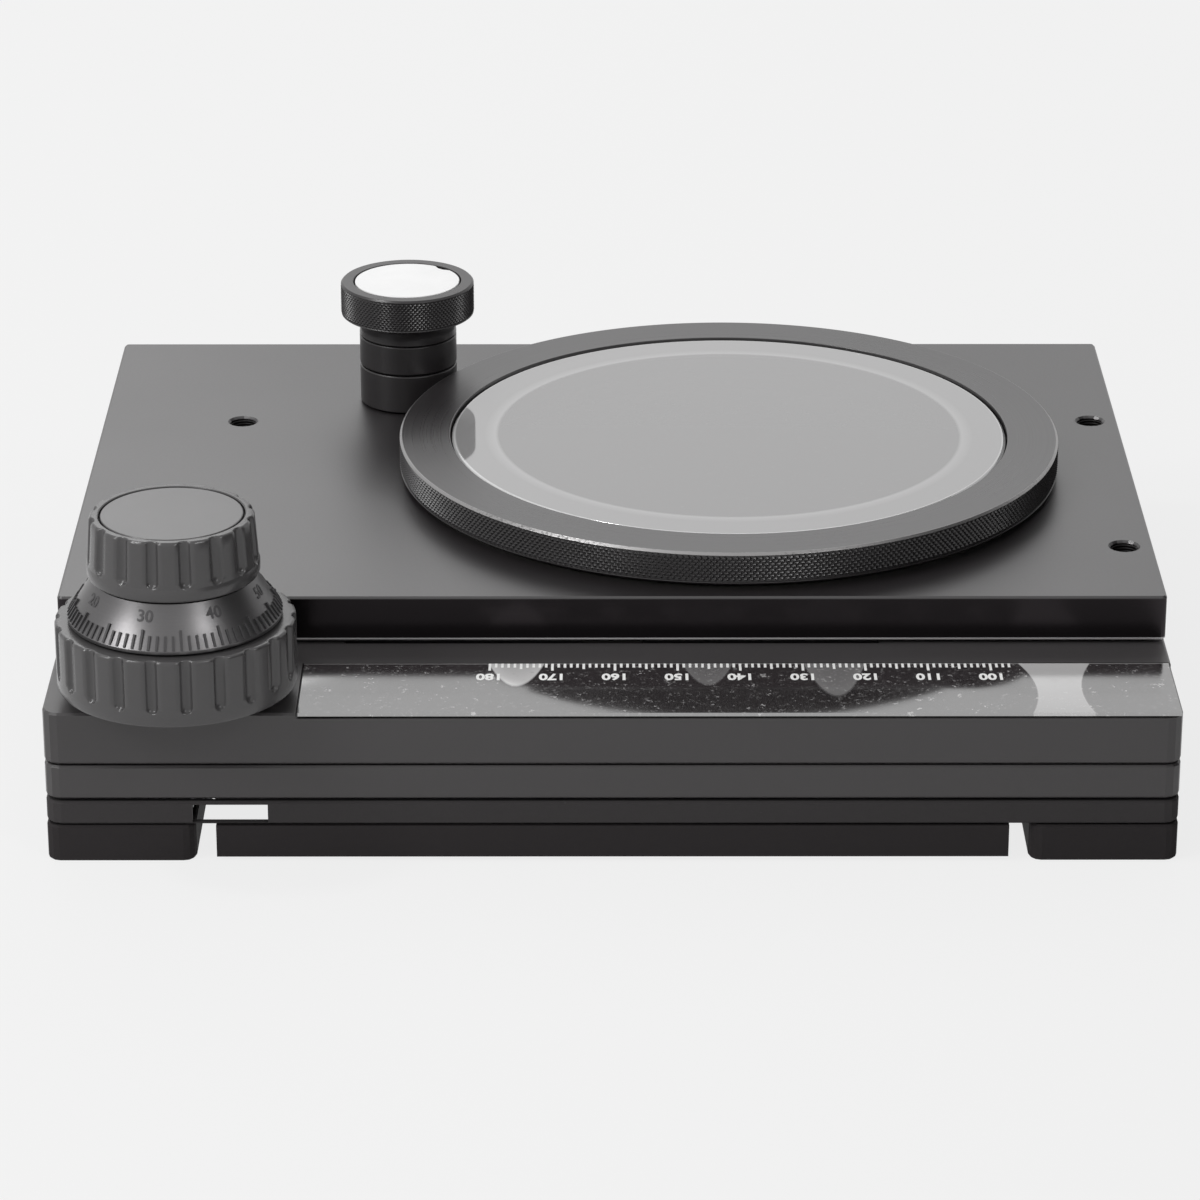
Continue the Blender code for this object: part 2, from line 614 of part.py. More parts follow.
def crossed_rollers(name, middle, start, end, centre_z, along):
    """A cage strip between two rails, with its rollers, which lean left and right in turn."""
    half, tall = CAGE_THICKNESS / 2, CAGE_HEIGHT / 2
    sides = (middle - half, middle + half)
    low, high = centre_z - tall, centre_z + tall
    if along == "x":
        strip = block(name, start, end, *sides, low, high, BRASS)
    else:
        strip = block(name, *sides, start, end, low, high, BRASS)
    pitch = (end - start) / ROLLER_COUNT
    for i in range(ROLLER_COUNT):
        lean = math.radians(45 if i % 2 else -45)
        join(strip, roller(start + pitch * (i + 0.5), middle, centre_z, lean, along))
    return strip


def involute_gear_outline(teeth, module, backlash):
    """Points of a spur gear's edge, with involute flanks, anticlockwise."""
    pitch = module * teeth / 2
    base = pitch * math.cos(PRESSURE_ANGLE)
    tip = pitch + ADDENDUM_SHARE * module
    root = pitch - DEDENDUM_SHARE * module

    def spread(radius):
        ratio = math.sqrt(max(0.0, (radius / base) ** 2 - 1.0))
        return ratio - math.atan(ratio)

    half_pitch_angle = math.pi / (2 * teeth) - backlash / (2 * pitch) + spread(pitch)
    start = max(base, root)
    flank = [start + (tip - start) * share for share in (0.0, 0.5, 1.0)]
    points = []
    for tooth in range(teeth):
        middle = math.tau * tooth / teeth
        side = [(radius, half_pitch_angle - spread(radius)) for radius in flank]
        edge = [(root, half_pitch_angle)] + side
        for radius, angle in edge:
            points.append((radius, middle - angle))
        for radius, angle in reversed(edge):
            points.append((radius, middle + angle))
    return [(radius * math.cos(angle), radius * math.sin(angle)) for radius, angle in points]


def rack_outline(pitch_x, back_x, front, back, phase_y):
    """Outline of a rack whose teeth point to -X, with a tooth space centred on phase_y."""
    pitch = math.pi * GEAR_MODULE
    tip_x = pitch_x - ADDENDUM_SHARE * GEAR_MODULE
    root_x = pitch_x + DEDENDUM_SHARE * GEAR_MODULE
    tilt = math.tan(PRESSURE_ANGLE)
    half_tooth = pitch / 4 - BACKLASH / 2
    tip_half = half_tooth - tilt * (pitch_x - tip_x)
    root_half = half_tooth + tilt * (root_x - pitch_x)
    first = math.ceil((front + root_half - phase_y) / pitch - 0.5)
    last = math.floor((back - root_half - phase_y) / pitch - 0.5)
    points = [(back_x, back), (back_x, front), (root_x, front)]
    for tooth in range(first, last + 1):
        middle = phase_y + pitch * (tooth + 0.5)
        points += [(root_x, middle - root_half), (tip_x, middle - tip_half),
                   (tip_x, middle + tip_half), (root_x, middle + root_half)]
    points.append((root_x, back))
    return points


def extruded(name, outline, bottom, top, material, location=(0.0, 0.0, 0.0), turn=0.0):
    loops = [[(x, y, height) for x, y in outline] for height in (bottom, top)]
    return loft(name, loops, material, location, turn)


def build_feet():
    names = {-1: "left_foot_rail", 1: "right_foot_rail"}
    for side, name in names.items():
        left, right = sorted((side * FOOT_INNER, side * HALF_WIDTH))
        foot = plate(name, left, right, FRONT, BACK, 0.0, FOOT_TOP, BLACK, FOOT_RADIUS)
        places = [place for place in FOOT_SCREW_PLACES if place[0] * side > 0]
        screw_holes(foot, places, FOOT_SCREW_HEAD, FOOT_SCREW_END)
    screw_group("foot_screw", FOOT_SCREW_PLACES, FOOT_SCREW_HEAD, FOOT_SCREW_END)


def build_skirts():
    """Thin folded strips that close the front and the back between the feet."""
    for name, outer, inward in (("front_skirt", FRONT, 1), ("rear_skirt", BACK, -1)):
        wall = sorted((outer, outer + inward * SKIRT_THICKNESS))
        skirt = block(name, -SKIRT_HALF_WIDTH, SKIRT_HALF_WIDTH, *wall, SKIRT_LIFT, FOOT_TOP, BLACK)
        flange = sorted((outer + inward * SKIRT_THICKNESS / 2, outer + inward * SKIRT_FLANGE))
        tab = block("tab", -SKIRT_FLANGE_HALF_WIDTH, SKIRT_FLANGE_HALF_WIDTH, *flange,
                    FOOT_TOP - SKIRT_THICKNESS, FOOT_TOP, BLACK)
        join(skirt, tab)


def build_base_frame():
    frame = plate("base_frame", -HALF_WIDTH, HALF_WIDTH, FRONT, BACK, BASE_BOTTOM, BASE_TOP, BLACK)
    cut(frame, light_opening(BASE_BOTTOM, BASE_TOP))
    channel = block("channel", CHANNEL_LEFT, WINDOW_RIGHT, FRONT + FRONT_WALL, CHANNEL_BACK,
                    BASE_BOTTOM - OVERRUN, BASE_TOP + OVERRUN)
    window = block("window", WINDOW_LEFT, WINDOW_RIGHT, FRONT - OVERRUN, FRONT + FRONT_WALL + OVERRUN,
                   BASE_BOTTOM + WINDOW_SILL, BASE_BOTTOM + WINDOW_SILL + WINDOW_HEIGHT)
    seat = block("seat", WINDOW_RIGHT - OVERRUN, RACK_BACK + SEAT_GAP, RACK_FRONT - SEAT_GAP,
                 RACK_END + SEAT_GAP, RACK_BOTTOM - SEAT_GAP, BASE_TOP + OVERRUN)
    cut(frame, channel, window, seat)
    screw_holes(frame, FOOT_SCREW_PLACES, FOOT_SCREW_HEAD, FOOT_SCREW_END)
    for x, y in RACK_SCREW_PLACES:
        shank = [(SMALL_SCREW_RADIUS + SEAT_GAP, BASE_BOTTOM - OVERRUN),
                 (SMALL_SCREW_RADIUS + SEAT_GAP, RACK_TOP)]
        cut(frame, turned("shank", shank, BLACK, x, y, SCREW_SIDES))


def build_y_drive():
    rack = extruded("y_rack", rack_outline(RACK_PITCH_X, RACK_BACK, RACK_FRONT, RACK_END, KNOB_Y),
                    RACK_BOTTOM, RACK_TOP, STEEL)
    screw_holes(rack, RACK_SCREW_PLACES, RACK_TOP, BASE_BOTTOM, SMALL_HEAD_RADIUS,
                SMALL_HEAD_HEIGHT, SMALL_SCREW_RADIUS)
    screw_group("rack_screw", RACK_SCREW_PLACES, RACK_TOP, BASE_BOTTOM + SEAT_GAP,
                SMALL_HEAD_RADIUS, SMALL_HEAD_HEIGHT, SMALL_SCREW_RADIUS)
    outline = involute_gear_outline(PINION_TEETH, GEAR_MODULE, BACKLASH)
    pinion = extruded("y_pinion", outline, RACK_BOTTOM, RACK_BOTTOM + PINION_WIDTH, BRASS,
                      (KNOB_X, KNOB_Y, 0.0))
    bore = Y_SHAFT_RADIUS + SEAT_GAP
    cut(pinion, turned("bore", [(bore, BASE_BOTTOM), (bore, BASE_TOP + OVERRUN)], BRASS, KNOB_X, KNOB_Y))
    shaft = [(Y_SHAFT_RADIUS, RACK_BOTTOM), (Y_SHAFT_RADIUS, Y_KNOB_TOP - CAP_DEPTH - SEAT_GAP)]
    turned("y_shaft", shaft, STEEL, KNOB_X, KNOB_Y)


def build_lower_carriage():
    lower = plate("lower_carriage", -HALF_WIDTH, HALF_WIDTH, FRONT, BACK, LOWER_BOTTOM, LOWER_TOP, BLACK)
    cut(lower, light_opening(LOWER_BOTTOM, LOWER_TOP))
    channel_top = LOWER_BOTTOM + RAIL_HEIGHT + SEAT_GAP * 2
    for side in (-1, 1):
        outer = side * (HALF_WIDTH - Y_GUIDE_INSET + SEAT_GAP)
        inner = side * (HALF_WIDTH - Y_GUIDE_INSET - GUIDE_WIDTH - SEAT_GAP)
        cut(lower, block("channel", min(outer, inner), max(outer, inner), FRONT + CHANNEL_END,
                         BACK - CHANNEL_END, LOWER_BOTTOM - OVERRUN, channel_top))
    radius = Y_SHAFT_RADIUS + RUN_GAP
    cut(lower, turned("shaft_hole", [(radius, LOWER_BOTTOM - OVERRUN), (radius, LOWER_TOP + OVERRUN)],
                      BLACK, KNOB_X, KNOB_Y))
    screw_holes(lower, PLATE_SCREW_PLACES, LOWER_BOTTOM + SEAT_GAP, LOWER_TOP + UPPER_THICKNESS / 2)


def build_y_guides():
    """Rails at both sides: the base's inner rail, the carriage's outer rail, and the rollers."""
    base_z = BASE_TOP + SEAT_GAP + RAIL_HEIGHT / 2
    for side, word in ((-1, "left"), (1, "right")):
        outer_face = side * (HALF_WIDTH - Y_GUIDE_INSET - RAIL_WIDTH)
        inner_face = outer_face - side * RAIL_SPACE
        lift = SLIDE_GAP
        rail(f"y_rail_carriage_{word}", outer_face, -side, Y_CARRIAGE_RAIL_FRONT,
             Y_CARRIAGE_RAIL_BACK, base_z + lift, "y")
        rail(f"y_rail_base_{word}", inner_face, side, Y_BASE_RAIL_FRONT, Y_BASE_RAIL_BACK,
             base_z, "y")
        crossed_rollers(f"y_cage_{word}", (outer_face + inner_face) / 2, Y_CAGE_FRONT,
                        Y_CAGE_FRONT + Y_CAGE_LENGTH, base_z + lift / 2, "y")


def build_upper_carriage():
    upper = plate("upper_carriage", -HALF_WIDTH, HALF_WIDTH, FRONT, BACK, UPPER_BOTTOM, UPPER_TOP, BLACK)
    cut(upper, light_opening(UPPER_BOTTOM, UPPER_TOP))
    strip_seat = block("strip_seat", STRIP_LEFT - SEAT_GAP, HALF_WIDTH + OVERRUN, FRONT - OVERRUN,
                       STRIP_BACK + SEAT_GAP, UPPER_TOP - STRIP_THICKNESS - SEAT_GAP, UPPER_TOP + OVERRUN)
    wire_pocket = slab("wire_pocket", KNOB_X - POCKET_RADIUS, IDLER_X + POCKET_RADIUS,
                       KNOB_Y - POCKET_RADIUS, KNOB_Y + POCKET_RADIUS, UPPER_BOTTOM - OVERRUN,
                       POCKET_TOP, POCKET_RADIUS - SEAT_GAP)
    reach = X_TRAVEL + BRACKET_WIDTH / 2 + SLIDE_GAP
    slot_back = BRACKET_EDGE + BRACKET_WALL + RUN_GAP
    bracket_pocket = block("bracket_pocket", -reach, reach, KNOB_Y, slot_back,
                           UPPER_BOTTOM - OVERRUN, POCKET_TOP)
    bracket_slot = block("bracket_slot", -reach, reach, BRACKET_EDGE - RUN_GAP, slot_back,
                         UPPER_BOTTOM, UPPER_TOP + OVERRUN)
    cut(upper, strip_seat, wire_pocket, bracket_pocket, bracket_slot)
    bush_hole = BUSH_RADIUS + SEAT_GAP
    cut(upper, turned("bush_hole", [(bush_hole, UPPER_BOTTOM), (bush_hole, UPPER_TOP + OVERRUN)],
                      BLACK, KNOB_X, KNOB_Y))
    screw_holes(upper, PLATE_SCREW_PLACES, LOWER_BOTTOM + SEAT_GAP, LOWER_TOP + UPPER_THICKNESS / 2)
    screw_group("carriage_screw", PLATE_SCREW_PLACES, LOWER_BOTTOM + SEAT_GAP,
                LOWER_TOP + UPPER_THICKNESS / 2)
    strip = block("scale_strip", STRIP_LEFT, STRIP_RIGHT, FRONT + STRIP_FRONT_MARGIN, STRIP_BACK,
                  UPPER_TOP - STRIP_THICKNESS, UPPER_TOP, SCALE)
    return upper, strip


def drum(name, x, bore, material):
    """A grooved drum that the drive wire runs on."""
    low, high = WIRE_Z - DRUM_HEIGHT / 2, WIRE_Z + DRUM_HEIGHT / 2
    profile = [(bore, low), (DRUM_RIM_RADIUS, low), (DRUM_RIM_RADIUS, low + DRUM_FLANGE),
               (DRUM_CORE_RADIUS, low + DRUM_FLANGE + DRUM_LIP / 2),
               (DRUM_CORE_RADIUS, high - DRUM_FLANGE - DRUM_LIP / 2),
               (DRUM_RIM_RADIUS, high - DRUM_FLANGE), (DRUM_RIM_RADIUS, high), (bore, high)]
    return hollow(name, profile, material, x, KNOB_Y)


def build_wire():
    """The endless wire: two straight runs and a half turn on each drum."""
    half_turn_steps = ROUND_STEPS // 2
    path = []
    for centre, start in ((IDLER_X, -90.0), (KNOB_X, 90.0)):
        for step in range(half_turn_steps + 1):
            angle = math.radians(start + 180.0 * step / half_turn_steps)
            path.append((centre + WIRE_TURN_RADIUS * math.cos(angle),
                         KNOB_Y + WIRE_TURN_RADIUS * math.sin(angle), math.cos(angle), math.sin(angle)))
    loops = []
    for x, y, out_x, out_y in path:
        loop = []
        for k in range(WIRE_SIDES):
            angle = math.tau * k / WIRE_SIDES
            off = WIRE_RADIUS * math.cos(angle)
            loop.append((x + off * out_x, y + off * out_y, WIRE_Z + WIRE_RADIUS * math.sin(angle)))
        loops.append(loop)
    return loft("drive_wire", loops, STEEL, closed=True)


def build_x_drive():
    low = WIRE_Z - DRUM_HEIGHT / 2
    drum("x_drum", KNOB_X, X_SHAFT_RADIUS + SEAT_GAP, BRASS)
    drum("idler_drum", IDLER_X, IDLER_PIN_RADIUS + RUN_GAP, BRASS)
    turned("idler_pin", [(IDLER_PIN_RADIUS, UPPER_BOTTOM + SEAT_GAP),
                         (IDLER_PIN_RADIUS, POCKET_TOP - SEAT_GAP)], STEEL, IDLER_X, KNOB_Y)
    build_wire()
    tube("x_shaft", X_SHAFT_BORE, X_SHAFT_RADIUS, low, X_KNOB_TOP - SEAT_GAP, STEEL, KNOB_X, KNOB_Y)
    flange_bottom = UPPER_TOP + SEAT_GAP
    bush_bottom = WIRE_Z + DRUM_HEIGHT / 2 + RUN_GAP
    profile = [(BUSH_BORE, bush_bottom), (BUSH_RADIUS, bush_bottom), (BUSH_RADIUS, flange_bottom),
               (BUSH_FLANGE_RADIUS, flange_bottom),
               (BUSH_FLANGE_RADIUS, flange_bottom + BUSH_FLANGE_HEIGHT),
               (BUSH_BORE, flange_bottom + BUSH_FLANGE_HEIGHT)]
    hollow("knob_bush", profile, BRASS, KNOB_X, KNOB_Y)
    knob_shell("x_knob", X_KNOB_RADIUS, 0.0, X_KNOB_FLUTES, X_KNOB_BOTTOM, X_KNOB_TOP,
               X_SHAFT_RADIUS + SEAT_GAP, DIAL_BASE_RADIUS + RUN_GAP, RUN_GAP)


def build_y_knob():
    rim = DIAL_BOTTOM + DIAL_RIM
    dial_bore = Y_SHAFT_RADIUS + SEAT_GAP
    hollow("y_dial", [(dial_bore, DIAL_BOTTOM), (DIAL_BASE_RADIUS, DIAL_BOTTOM),
                      (DIAL_BASE_RADIUS, rim), (Y_KNOB_RADIUS, DIAL_TOP), (dial_bore, DIAL_TOP)],
           DIAL, KNOB_X, KNOB_Y, 2 * ROUND_STEPS)
    knob_shell("y_knob", Y_KNOB_RADIUS, Y_KNOB_FLARE, Y_KNOB_FLUTES, Y_KNOB_BOTTOM, Y_KNOB_TOP,
               dial_bore, CAP_RADIUS + SEAT_GAP, CAP_DEPTH)
    cap_bottom = Y_KNOB_TOP - CAP_DEPTH + SEAT_GAP
    turned("y_knob_cap", [(CAP_RADIUS, cap_bottom), (CAP_RADIUS, Y_KNOB_TOP)], CAP, KNOB_X, KNOB_Y)


def build_bracket():
    """The arm that ties the top plate to the rear run of the wire."""
    half = BRACKET_WIDTH / 2
    wire_y = KNOB_Y + WIRE_TURN_RADIUS
    clear = WIRE_RADIUS + RUN_GAP
    arm_top = POCKET_TOP - SLIDE_GAP
    back = BRACKET_EDGE + BRACKET_WALL
    front = wire_y - clear - JAW_WALL
    arm = block("wire_bracket", -half, half, front, back, arm_top - BRACKET_WALL, arm_top, DARK_STEEL)
    jaws = block("jaws", -half, half, front, wire_y + clear + JAW_WALL,
                 arm_top - JAW_HEIGHT, arm_top - BRACKET_WALL / 2)
    leg = block("leg", -half, half, BRACKET_EDGE, back, arm_top - BRACKET_WALL / 2,
                TOP_BOTTOM - SEAT_GAP)
    join(arm, jaws, leg)
    groove = block("groove", -half - OVERRUN, half + OVERRUN, wire_y - clear, wire_y + clear,
                   arm_top - JAW_HEIGHT - OVERRUN, WIRE_Z + clear)
    cut(arm, groove)


def build_x_guides():
    low_z = UPPER_TOP + SEAT_GAP + RAIL_HEIGHT / 2
    front_face = X_GUIDE_FRONT + RAIL_WIDTH
    back_face = BACK - X_GUIDE_BACK - RAIL_WIDTH
    for word, face, inward in (("front", front_face, 1), ("rear", back_face, -1)):
        other = face + inward * RAIL_SPACE
        rail(f"x_rail_top_{word}", face, inward, -X_RAIL_HALF, X_RAIL_HALF, low_z + X_RAIL_LIFT, "x")
        rail(f"x_rail_carriage_{word}", other, -inward, -X_RAIL_HALF, X_RAIL_HALF, low_z, "x")
        crossed_rollers(f"x_cage_{word}", (face + other) / 2, -X_CAGE_HALF, X_CAGE_HALF,
                        low_z + X_RAIL_LIFT / 2, "x")


def build_top_plate():
    top = plate("top_plate", -HALF_WIDTH, HALF_WIDTH, 0.0, BACK, TOP_BOTTOM, TOP_TOP, TOP_GREY,
                TOP_CORNER_RADIUS)
    bore = [(RETAINER_RADIUS + RUN_GAP, TOP_BOTTOM - OVERRUN),
            (RETAINER_RADIUS + RUN_GAP, RETAINER_POCKET_TOP),
            (PLATE_BORE, RETAINER_POCKET_TOP), (PLATE_BORE, TOP_TOP + OVERRUN)]
    cut(top, turned("bore", bore, BLACK, RING_X, RING_Y, RING_STEPS))
    channel_half = HALF_WIDTH - CHANNEL_END
    front_near = X_GUIDE_FRONT - SEAT_GAP
    front_far = X_GUIDE_FRONT + GUIDE_WIDTH + SEAT_GAP
    back_far = BACK - X_GUIDE_BACK + SEAT_GAP
    back_near = BACK - X_GUIDE_BACK - GUIDE_WIDTH - SEAT_GAP
    for near, far in ((front_near, front_far), (back_near, back_far)):
        cut(top, block("channel", -channel_half, channel_half, near, far, TOP_BOTTOM - OVERRUN,
                       CHANNEL_TOP))
    for x in (HOLE_LEFT, HOLE_RIGHT):
        for y in (HOLE_FRONT, HOLE_BACK):
            hole = [(HOLE_RADIUS, TOP_BOTTOM - OVERRUN), (HOLE_RADIUS, TOP_TOP - HOLE_CHAMFER),
                    (HOLE_RADIUS + HOLE_CHAMFER, TOP_TOP), (HOLE_RADIUS + HOLE_CHAMFER, TOP_TOP + OVERRUN)]
            cut(top, turned("hole", hole, BLACK, x, y, 2 * SCREW_SIDES))
    spindle = SPINDLE_RADIUS + RUN_GAP
    cut(top, turned("spindle_hole", [(spindle, TOP_TOP - SPINDLE_SINK - SEAT_GAP),
                                     (spindle, TOP_TOP + OVERRUN)], BLACK, POST_X, POST_Y))


def build_specimen_ring():
    profile = [(APERTURE_RADIUS, SPIGOT_BOTTOM), (SPIGOT_RADIUS, SPIGOT_BOTTOM),
               (SPIGOT_RADIUS, RING_BOTTOM), (RING_RADIUS - RING_CHAMFER, RING_BOTTOM),
               (RING_RADIUS, RING_BOTTOM + RING_CHAMFER), (RING_RADIUS, RING_TOP - RING_CHAMFER),
               (RING_RADIUS - RING_CHAMFER, RING_TOP), (GLASS_POCKET_RADIUS, RING_TOP),
               (GLASS_POCKET_RADIUS, RING_SEAT), (APERTURE_RADIUS, RING_SEAT)]
    hollow("specimen_ring", profile, RING_BLACK, RING_X, RING_Y, RING_STEPS)
    glass = [(GLASS_RADIUS - GLASS_CHAMFER, GLASS_BOTTOM), (GLASS_RADIUS, GLASS_BOTTOM + GLASS_CHAMFER),
             (GLASS_RADIUS, GLASS_TOP - GLASS_CHAMFER), (GLASS_RADIUS - GLASS_CHAMFER, GLASS_TOP)]
    turned("stage_glass", glass, GLASS, RING_X, RING_Y, RING_STEPS)
    inner = SPIGOT_RADIUS + GLIDE_INNER_MARGIN
    tube("glide_ring", inner, inner + GLIDE_WIDTH, TOP_TOP + SEAT_GAP, RING_BOTTOM - SEAT_GAP,
         NYLON, RING_X, RING_Y, RING_STEPS)
    tube("ring_retainer", APERTURE_RADIUS, RETAINER_RADIUS, RETAINER_BOTTOM, RETAINER_TOP, BLACK,
         RING_X, RING_Y, RING_STEPS)


def build_clamp():
    bore = SPINDLE_RADIUS + RUN_GAP
    tube("clamp_post_lower", bore, POST_RADIUS, POST_BOTTOM, POST_MIDDLE, BLACK, POST_X, POST_Y,
         2 * ROUND_STEPS, POST_CHAMFER)
    tube("clamp_post_upper", bore, POST_RADIUS, POST_MIDDLE + SEAT_GAP, POST_TOP, BLACK, POST_X,
         POST_Y, 2 * ROUND_STEPS, POST_CHAMFER)
    disc_bottom = HEAD_TOP - DISC_THICKNESS
    turned("clamp_spindle", [(SPINDLE_RADIUS, TOP_TOP - SPINDLE_SINK),
                             (SPINDLE_RADIUS, disc_bottom - 2 * SEAT_GAP)], STEEL, POST_X, POST_Y)
    half_neck = (HEAD_RADIUS + POST_RADIUS) / 2
    seat_radius = DISC_RADIUS + SEAT_GAP
    seat = disc_bottom - SEAT_GAP
    spindle_bore = SPINDLE_RADIUS + SEAT_GAP
    head = [(spindle_bore, HEAD_BOTTOM), (POST_RADIUS, HEAD_BOTTOM),
            (POST_RADIUS, HEAD_BOTTOM + HEAD_NECK_HEIGHT * NECK_STRAIGHT_SHARE),
            (half_neck, HEAD_BOTTOM + HEAD_NECK_HEIGHT * NECK_CURVE_SHARE),
            (HEAD_RADIUS, HEAD_SHOULDER), (HEAD_RADIUS, HEAD_TOP - HEAD_CHAMFER),
            (HEAD_RADIUS - HEAD_CHAMFER, HEAD_TOP), (seat_radius, HEAD_TOP), (seat_radius, seat),
            (spindle_bore, seat)]
    hollow("clamp_knob", head, BLACK, POST_X, POST_Y, 2 * ROUND_STEPS)
    turned("clamp_disc", [(DISC_RADIUS, disc_bottom), (DISC_RADIUS, HEAD_TOP)], WHITE, POST_X, POST_Y,
           2 * ROUND_STEPS)


build_feet()
build_skirts()
build_base_frame()
build_lower_carriage()
build_y_guides()
build_upper_carriage()
build_y_drive()
build_x_drive()
build_y_knob()
build_bracket()
build_x_guides()
build_top_plate()
build_specimen_ring()
build_clamp()
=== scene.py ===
"""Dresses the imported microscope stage: turned and knurled pieces, scales, finishes and studio.

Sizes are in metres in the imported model's own frame: X runs left to right, Y runs from the front
to the back, Z runs up, and the stage stands on Z = 0.
"""
from __future__ import annotations

import json
import logging
import math
from collections.abc import Callable, Sequence
from dataclasses import dataclass
from enum import Enum

import bmesh
import bpy
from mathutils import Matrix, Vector

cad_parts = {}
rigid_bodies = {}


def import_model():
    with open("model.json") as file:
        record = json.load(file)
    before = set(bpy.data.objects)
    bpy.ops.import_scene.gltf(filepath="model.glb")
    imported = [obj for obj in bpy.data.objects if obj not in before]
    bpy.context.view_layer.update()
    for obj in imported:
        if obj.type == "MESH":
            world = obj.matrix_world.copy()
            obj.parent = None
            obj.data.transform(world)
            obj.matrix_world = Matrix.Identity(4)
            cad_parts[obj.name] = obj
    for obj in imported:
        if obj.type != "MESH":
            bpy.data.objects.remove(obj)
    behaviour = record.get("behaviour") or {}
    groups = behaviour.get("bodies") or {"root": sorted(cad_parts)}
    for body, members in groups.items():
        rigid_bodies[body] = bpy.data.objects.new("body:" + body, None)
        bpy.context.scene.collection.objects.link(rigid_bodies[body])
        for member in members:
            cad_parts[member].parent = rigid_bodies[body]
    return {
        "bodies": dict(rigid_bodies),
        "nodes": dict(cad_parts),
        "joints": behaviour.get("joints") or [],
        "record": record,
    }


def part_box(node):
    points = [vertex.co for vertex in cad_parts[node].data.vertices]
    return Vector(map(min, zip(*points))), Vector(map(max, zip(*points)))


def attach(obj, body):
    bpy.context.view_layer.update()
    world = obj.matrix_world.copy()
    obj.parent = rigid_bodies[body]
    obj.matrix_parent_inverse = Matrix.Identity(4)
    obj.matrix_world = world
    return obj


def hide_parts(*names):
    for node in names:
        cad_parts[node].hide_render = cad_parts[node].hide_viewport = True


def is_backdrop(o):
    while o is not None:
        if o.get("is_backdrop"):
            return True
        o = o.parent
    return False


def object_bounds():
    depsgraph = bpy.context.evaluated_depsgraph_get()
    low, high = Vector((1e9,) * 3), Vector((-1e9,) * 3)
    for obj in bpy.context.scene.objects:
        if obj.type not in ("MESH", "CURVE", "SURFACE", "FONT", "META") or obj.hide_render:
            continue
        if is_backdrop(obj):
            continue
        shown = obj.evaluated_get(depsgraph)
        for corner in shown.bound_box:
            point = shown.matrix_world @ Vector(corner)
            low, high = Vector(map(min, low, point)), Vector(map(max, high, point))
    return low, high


MM = 0.001
SMOOTH_LIMIT = math.radians(32)
POLE_RADIUS = 1e-7
LEAST_RADIUS = 1e-6
FINE_FILLET = 0.08 * MM
FILLET = 0.1 * MM
SOFT_FILLET = 0.12 * MM
KNURL_CORE = 0.85

Colour = tuple[float, float, float]
Point = tuple[float, float]
Place = tuple[float, float, float]

log = logging.getLogger("stage")


class Body(str, Enum):
    """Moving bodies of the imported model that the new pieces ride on."""

    BASE = "base"
    Y_CARRIAGE = "y_carriage"
    X_CARRIAGE = "x_carriage"
    RING = "ring"
    CLAMP = "clamp"
    X_DRIVE = "x_drive"
    Y_DRIVE = "y_drive"


class Slot(str, Enum):
    """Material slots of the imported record."""

    BLACK = "black_anodised"
    TOP = "top_anodised"
    RING = "ring_anodised"
    KNOB = "knob_plastic"
    CAP = "knob_cap"
    DIAL = "dial_plastic"
    BEARING = "bearing_steel"
    SCREW = "screw_steel"
    BRASS = "drive_brass"
    GLASS = "stage_glass"
    WHITE = "white_disc"
    SCALE = "scale_film"
    NYLON = "glide_nylon"


# Node trees


class Signal:
    """One output socket of a node, with Python's arithmetic on it."""

    def __init__(self, graph: Graph, socket: bpy.types.NodeSocket) -> None:
        """Wrap a socket.

        Args:
            graph: The graph that the socket's node stands in.
            socket: The output socket.
        """
        self.graph = graph
        self.socket = socket

    def also(self, name: str) -> Signal:
        """Give another output of the same node."""
        return Signal(self.graph, self.socket.node.outputs[name])

    def maths(self, operation: str, *others: Signal | float) -> Signal:
        """Add a Math node that starts with this signal."""
        return self.graph.maths(operation, self, *others)

    def __add__(self, other: Signal | float) -> Signal:
        """Add."""
        return self.maths("ADD", other)

    def __radd__(self, other: float) -> Signal:
        """Add, reflected."""
        return self.graph.maths("ADD", other, self)

    def __sub__(self, other: Signal | float) -> Signal:
        """Subtract."""
        return self.maths("SUBTRACT", other)

    def __rsub__(self, other: float) -> Signal:
        """Subtract, reflected."""
        return self.graph.maths("SUBTRACT", other, self)

    def __mul__(self, other: Signal | float) -> Signal:
        """Multiply."""
        return self.maths("MULTIPLY", other)

    def __rmul__(self, other: float) -> Signal:
        """Multiply, reflected."""
        return self.graph.maths("MULTIPLY", other, self)

    def __truediv__(self, other: Signal | float) -> Signal:
        """Divide."""
        return self.maths("DIVIDE", other)

    def __mod__(self, other: Signal | float) -> Signal:
        """Give the remainder."""
        return self.maths("FLOORED_MODULO", other)


